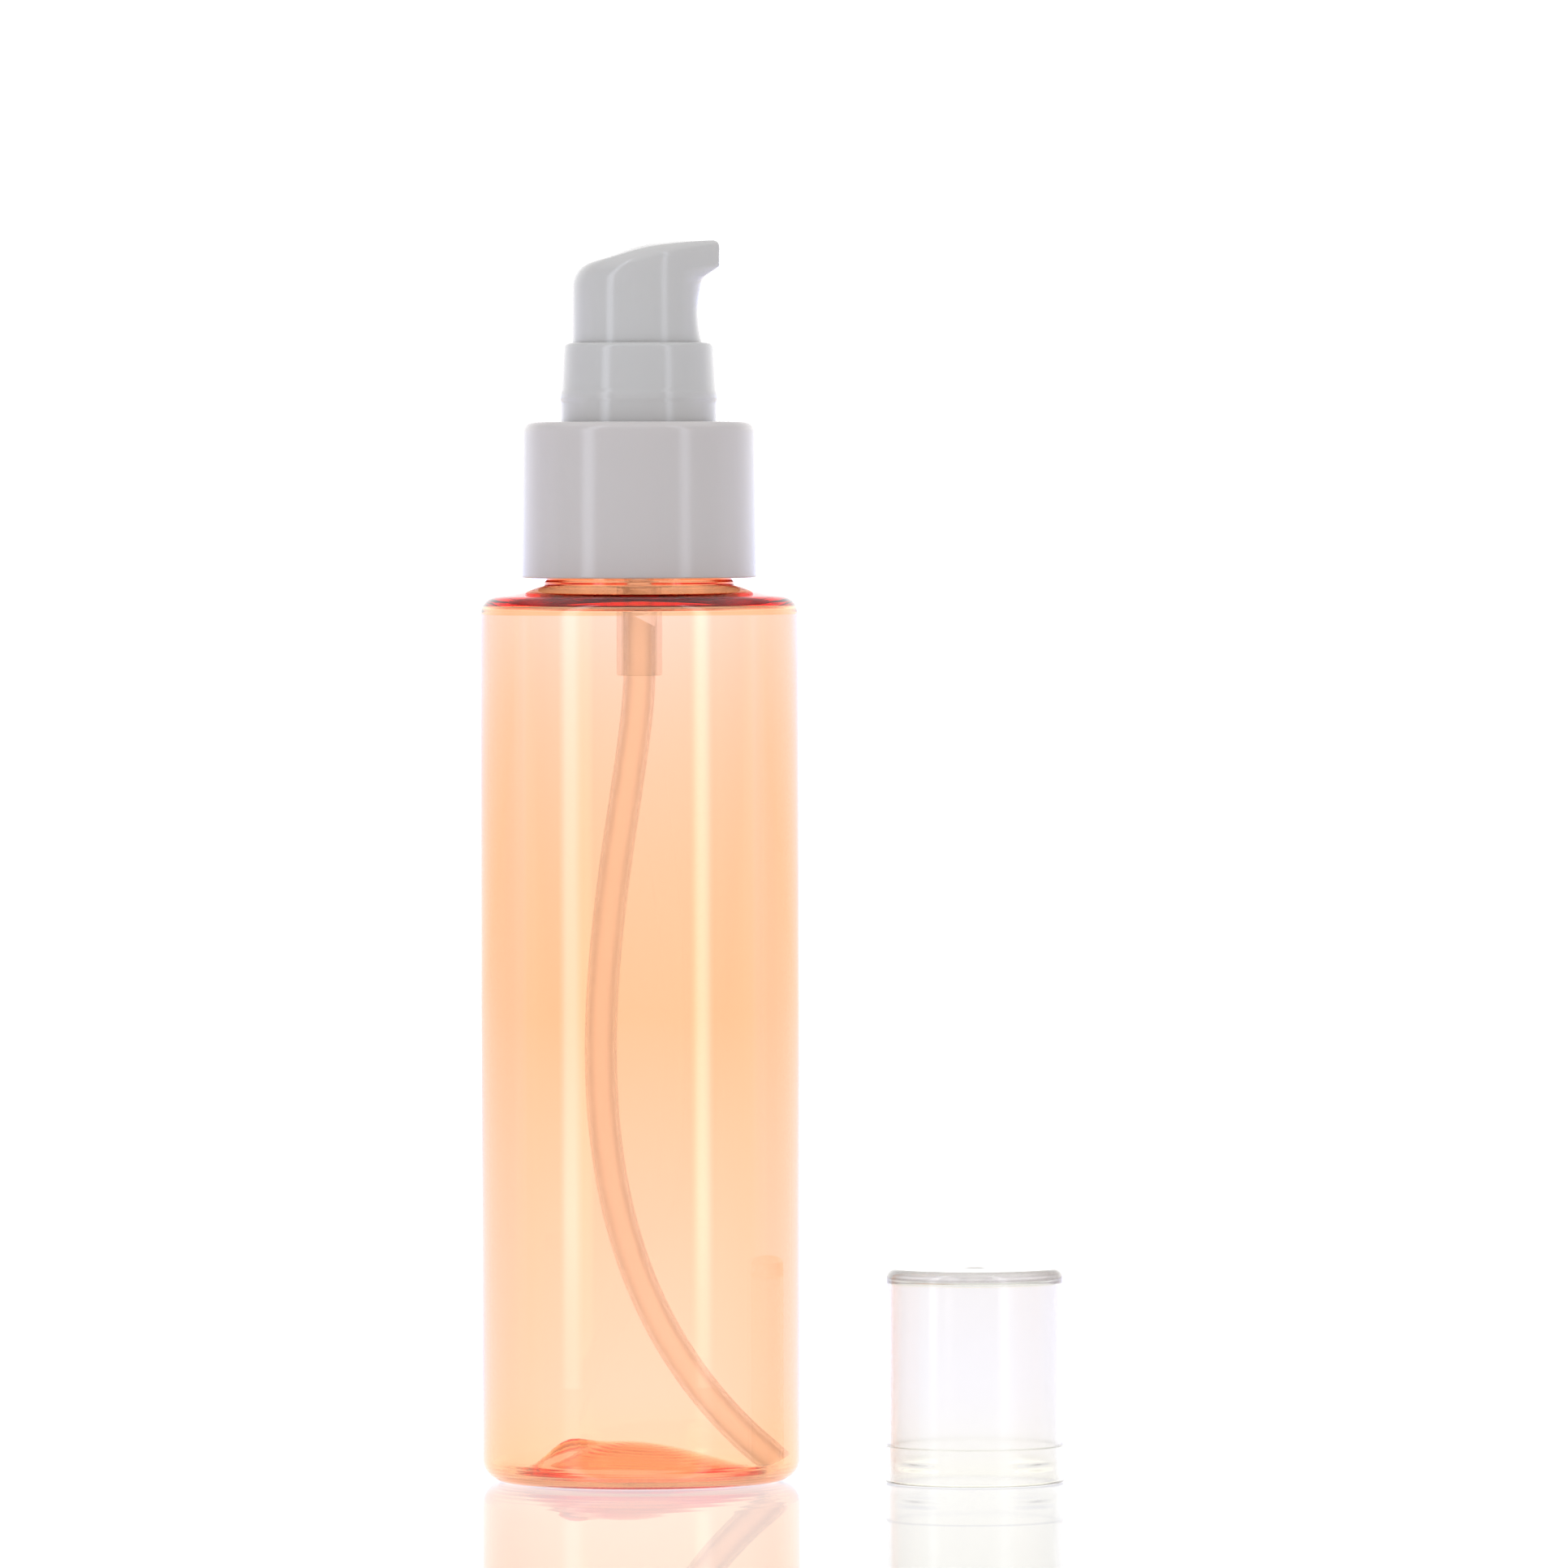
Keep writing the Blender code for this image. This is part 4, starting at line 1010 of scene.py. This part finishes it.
def make_spring():
    spring_low, spring_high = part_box("spring")
    bottom = spring_low.z + SPRING_WIRE_R
    rise = spring_high.z - SPRING_WIRE_R - bottom
    count = SPRING_CURLS * SPRING_CURL_POINTS
    centres = []
    for i in range(count + 1):
        angle = 2 * math.pi * i / SPRING_CURL_POINTS
        share = i / count
        eased = share - math.sin(2 * math.pi * share) / (2 * math.pi) * SPRING_END_CURLS
        outward = Vector((math.cos(angle), math.sin(angle), 0))
        point = outward * SPRING_R + Vector((0, 0, bottom + rise * eased))
        centres.append((point, outward, Vector((0, 0, 1))))
    spring = swept("return_spring", centres, SPRING_SIDES, (SPRING_WIRE_R,), BOTTLE_AXIS)
    dress(spring, "pump", "spring", drawn_steel())
    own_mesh(spring)


def bezier(handles, t):
    """A point on the bend that four handles give, at a share t of the way."""
    weights = ((1 - t) ** 3, 3 * (1 - t) ** 2 * t, 3 * (1 - t) * t**2, t**3)
    total = Vector((0, 0))
    for weight, handle in zip(weights, handles):
        total += weight * handle
    return total


def make_dip_tube():
    end = Vector(TUBE_END)
    start = Vector((0, SPIGOT_Z))
    handles = (start, start + Vector(TUBE_TOP_HANDLE), end + Vector(TUBE_END_HANDLE), end)
    top_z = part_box("dip_tube")[1].z - TUBE_TOP_DROP
    spots = [Vector((0, top_z)), Vector((0, top_z - 3 * TUBE_R))]
    spots += [bezier(handles, i / TUBE_STEPS) for i in range(TUBE_STEPS - 2)]
    spots += [end]
    centres = []
    last = len(spots) - 1
    for index, spot in enumerate(spots):
        along = (spots[min(index + 1, last)] - spots[max(index - 1, 0)]).normalized()
        across = Vector((-along.y, along.x))
        if index == 0:
            across += along * math.tan(math.radians(TUBE_TOP_TILT))
        if index == last:
            across += along * math.tan(math.radians(TUBE_END_TILT))
        centres.append((Vector((spot.x, 0, spot.y)), Vector((across.x, 0, across.y)), Vector((0, 1, 0))))
    tube = swept("suction_tube", centres, TUBE_SIDES, (TUBE_R, TUBE_BORE_R), BOTTLE_AXIS)
    material = natural_plastic("natural_ldpe_extruded", "FFF2E6", clear=1.0, roughness=0.45, veil=TUBE_VEIL)
    dress(tube, "pump", "dip_tube", material)


def make_overcap():
    wall_r = OVERCAP_BORE_R + OVERCAP_WALL
    roof_z = OVERCAP_HEIGHT - OVERCAP_TOP
    corners = [
        (0, OVERCAP_HEIGHT - GATE_DEPTH, 0.0),
        (GATE_FLOOR * GATE_R, OVERCAP_HEIGHT - GATE_DEPTH, EDGE),
        (GATE_R, OVERCAP_HEIGHT, EDGE_FINE),
        (wall_r, OVERCAP_HEIGHT, OVERCAP_EDGE),
        (wall_r + OVERCAP_DRAFT, OVERCAP_BAND + OVERCAP_BAND_STEP, EDGE_FINE),
        (OVERCAP_R, OVERCAP_BAND, EDGE_FINE),
        (OVERCAP_R, 0.0, EDGE),
        (OVERCAP_BORE_R, 0.0, EDGE_SOFT),
        (OVERCAP_BORE_R, SNAP_RISE - SNAP_HALF_WIDTH, 0.0),
    ]
    roof = [
        (OVERCAP_BORE_R, SNAP_RISE + SNAP_HALF_WIDTH, 0.0),
        (OVERCAP_BORE_R, roof_z, OVERCAP_ROOF_EDGE),
        (0, roof_z, 0.0),
    ]
    snap = rows(OVERCAP_BORE_R, SNAP_RISE - SNAP_HALF_WIDTH, SNAP_RISE + SNAP_HALF_WIDTH, SNAP_ROW)
    outline = filleted(corners) + snap[1:-1] + filleted(roof)

    def formed(angle, r, z):
        away = (z - SNAP_RISE) / SNAP_HALF_WIDTH
        if abs(r - OVERCAP_BORE_R) > SAME_R or abs(away) >= 1:
            return r, z
        spacing = 360 / SNAP_COUNT
        from_middle = abs(math.degrees(angle) % spacing - spacing / 2)
        fade = min(1.0, max(0.0, (SNAP_SPAN / 2 - from_middle) / SNAP_FADE))
        return r - SNAP_DEPTH * fade * (1 - away**2) ** 2, z

    overcap = turned("clear_overcap", outline, OVERCAP_AXIS, formed=formed)
    dress(overcap, "overcap", "overcap", moulded_clear())


def make_stage():
    """A glossy white table that runs to the horizon, lit from below so that nothing on it casts a shadow."""
    shape = bmesh.new()
    bmesh.ops.create_grid(shape, x_segments=8, y_segments=8, size=TABLE_SIZE)
    mesh = bpy.data.meshes.new("white_table")
    shape.to_mesh(mesh)
    shape.free()
    table = bpy.data.objects.new("white_table", mesh)
    table.location = (0, 0, -TABLE_DROP)
    bpy.context.scene.collection.objects.link(table)
    material = bpy.data.materials.new("white_acrylic_sheet")
    material.use_nodes = True
    tree = material.node_tree
    tree.nodes.remove(tree.nodes["Principled BSDF"])
    place = add_node(tree, "ShaderNodeTexCoord").outputs["Object"]
    parts = add_node(tree, "ShaderNodeSeparateXYZ", links={"Vector": place})
    share = add_node(
        tree,
        "ShaderNodeMapRange",
        {"From Min": TABLE_GLOW_START, "From Max": TABLE_GLOW_END},
        {"Value": parts.outputs["Y"]},
    )
    glow = add_node(tree, "ShaderNodeValToRGB", links={"Fac": share.outputs["Result"]})
    ramp = glow.color_ramp
    while len(ramp.elements) < len(TABLE_GLOW):
        ramp.elements.new(1.0)
    for element, (distance, colour) in zip(ramp.elements, TABLE_GLOW):
        element.position = (distance - TABLE_GLOW_START) / (TABLE_GLOW_END - TABLE_GLOW_START)
        element.color = (*colour, 1.0)
    light = add_node(tree, "ShaderNodeEmission", links={"Color": glow.outputs["Color"]})
    gloss = add_node(tree, "ShaderNodeBsdfGlossy", {"Roughness": 0.0})
    mixed = add_node(
        tree,
        "ShaderNodeMixShader",
        {"Fac": TABLE_MIRROR},
        {1: light.outputs["Emission"], 2: gloss.outputs["BSDF"]},
    )
    tree.links.new(mixed.outputs["Shader"], tree.nodes["Material Output"].inputs["Surface"])
    mesh.materials.append(material)


def make_light():
    """A bright wall behind, a dimmer room above and in front, and two tall soft boxes beside the camera."""
    world = bpy.data.worlds.new("white_studio")
    bpy.context.scene.world = world
    world.use_nodes = True
    tree = world.node_tree
    way = add_node(tree, "ShaderNodeTexCoord").outputs["Generated"]
    parts = add_node(tree, "ShaderNodeSeparateXYZ", links={"Vector": way})
    room = {}
    for name, (axis, start, end, low, high) in ROOM_LIGHT.items():
        change = add_node(
            tree,
            "ShaderNodeMapRange",
            {
                "interpolation_type": "SMOOTHSTEP",
                "From Min": start,
                "From Max": end,
                "To Min": low,
                "To Max": high,
            },
            {"Value": parts.outputs[axis]},
        )
        room[name] = change.outputs["Result"]
    total = room["behind"]
    for operation, name in (("MULTIPLY", "lower"), ("MAXIMUM", "above"), ("ADD", "right")):
        step = add_node(tree, "ShaderNodeMath", {"operation": operation}, {0: total, 1: room[name]})
        total = step.outputs["Value"]
    tree.links.new(total, tree.nodes["Background"].inputs["Strength"])
    tree.nodes["Background"].inputs["Color"].default_value = linear("FFFFFF")
    for turn, spread, radiance in STRIP_LIGHTS:
        light = bpy.data.lights.new("soft_box", "AREA")
        light.shape = "RECTANGLE"
        light.size = STRIP_DISTANCE * math.radians(spread)
        light.size_y = STRIP_HEIGHT
        light.energy = radiance * math.pi * light.size * light.size_y
        light.color = linear("EEF3FF")[:3]
        light.use_nodes = True
        tree = light.node_tree
        spot = add_node(tree, "ShaderNodeNewGeometry")
        parts = add_node(tree, "ShaderNodeSeparateXYZ", links={"Vector": spot.outputs["Parametric"]})
        centred = add_node(
            tree, "ShaderNodeMath", {"operation": "SUBTRACT", 1: 0.5}, {0: parts.outputs["X"]}
        )
        away = add_node(tree, "ShaderNodeMath", {"operation": "ABSOLUTE"}, {0: centred.outputs["Value"]})
        soft = add_node(
            tree,
            "ShaderNodeMapRange",
            {"interpolation_type": "SMOOTHSTEP", "From Min": 0.5, "From Max": STRIP_CORE},
            {"Value": away.outputs["Value"]},
        )
        rising = add_node(
            tree,
            "ShaderNodeMapRange",
            {"interpolation_type": "SMOOTHSTEP", "From Max": STRIP_FADE, "To Min": STRIP_FOOT},
            {"Value": parts.outputs["Y"]},
        )
        level = add_node(
            tree,
            "ShaderNodeMath",
            {"operation": "MULTIPLY"},
            {0: soft.outputs["Result"], 1: rising.outputs["Result"]},
        )
        tree.links.new(level.outputs["Value"], tree.nodes["Emission"].inputs["Strength"])
        lamp = bpy.data.objects.new("soft_box", light)
        angle = math.radians(turn)
        middle = Vector((BOTTLE_AXIS.x, 0, STRIP_HEIGHT / 2))
        lamp.location = middle + STRIP_DISTANCE * Vector((math.sin(angle), -math.cos(angle), 0))
        lamp.rotation_euler = (middle - lamp.location).to_track_quat("-Z", "Y").to_euler()
        bpy.context.scene.collection.objects.link(lamp)


def make_camera():
    data = bpy.data.cameras.new("camera")
    data.sensor_width = SENSOR * 1000
    data.lens = FOCAL_PIXELS / max(IMAGE_WIDTH, IMAGE_HEIGHT) * SENSOR * 1000
    data.clip_start = CLIP_NEAR
    data.clip_end = CLIP_FAR
    camera = bpy.data.objects.new("camera", data)
    level = Matrix.Rotation(math.radians(90 + CAMERA_TILT), 4, "X")
    roll = Matrix.Rotation(math.radians(CAMERA_ROLL), 4, "Z")
    camera.matrix_world = Matrix.Translation(CAMERA_PLACE) @ level @ roll
    bpy.context.scene.collection.objects.link(camera)
    bpy.context.scene.camera = camera


make_camera()
make_light()
make_stage()
make_bottle()
make_collar()
make_sleeve()
make_actuator()
make_housing()
make_engine()
make_spring()
make_dip_tube()
make_overcap()

bpy.context.scene.view_settings.view_transform = "Standard"
bpy.context.scene.cycles.max_bounces = BOUNCES
bpy.context.scene.cycles.transmission_bounces = BOUNCES
bpy.context.scene.cycles.glossy_bounces = BOUNCES
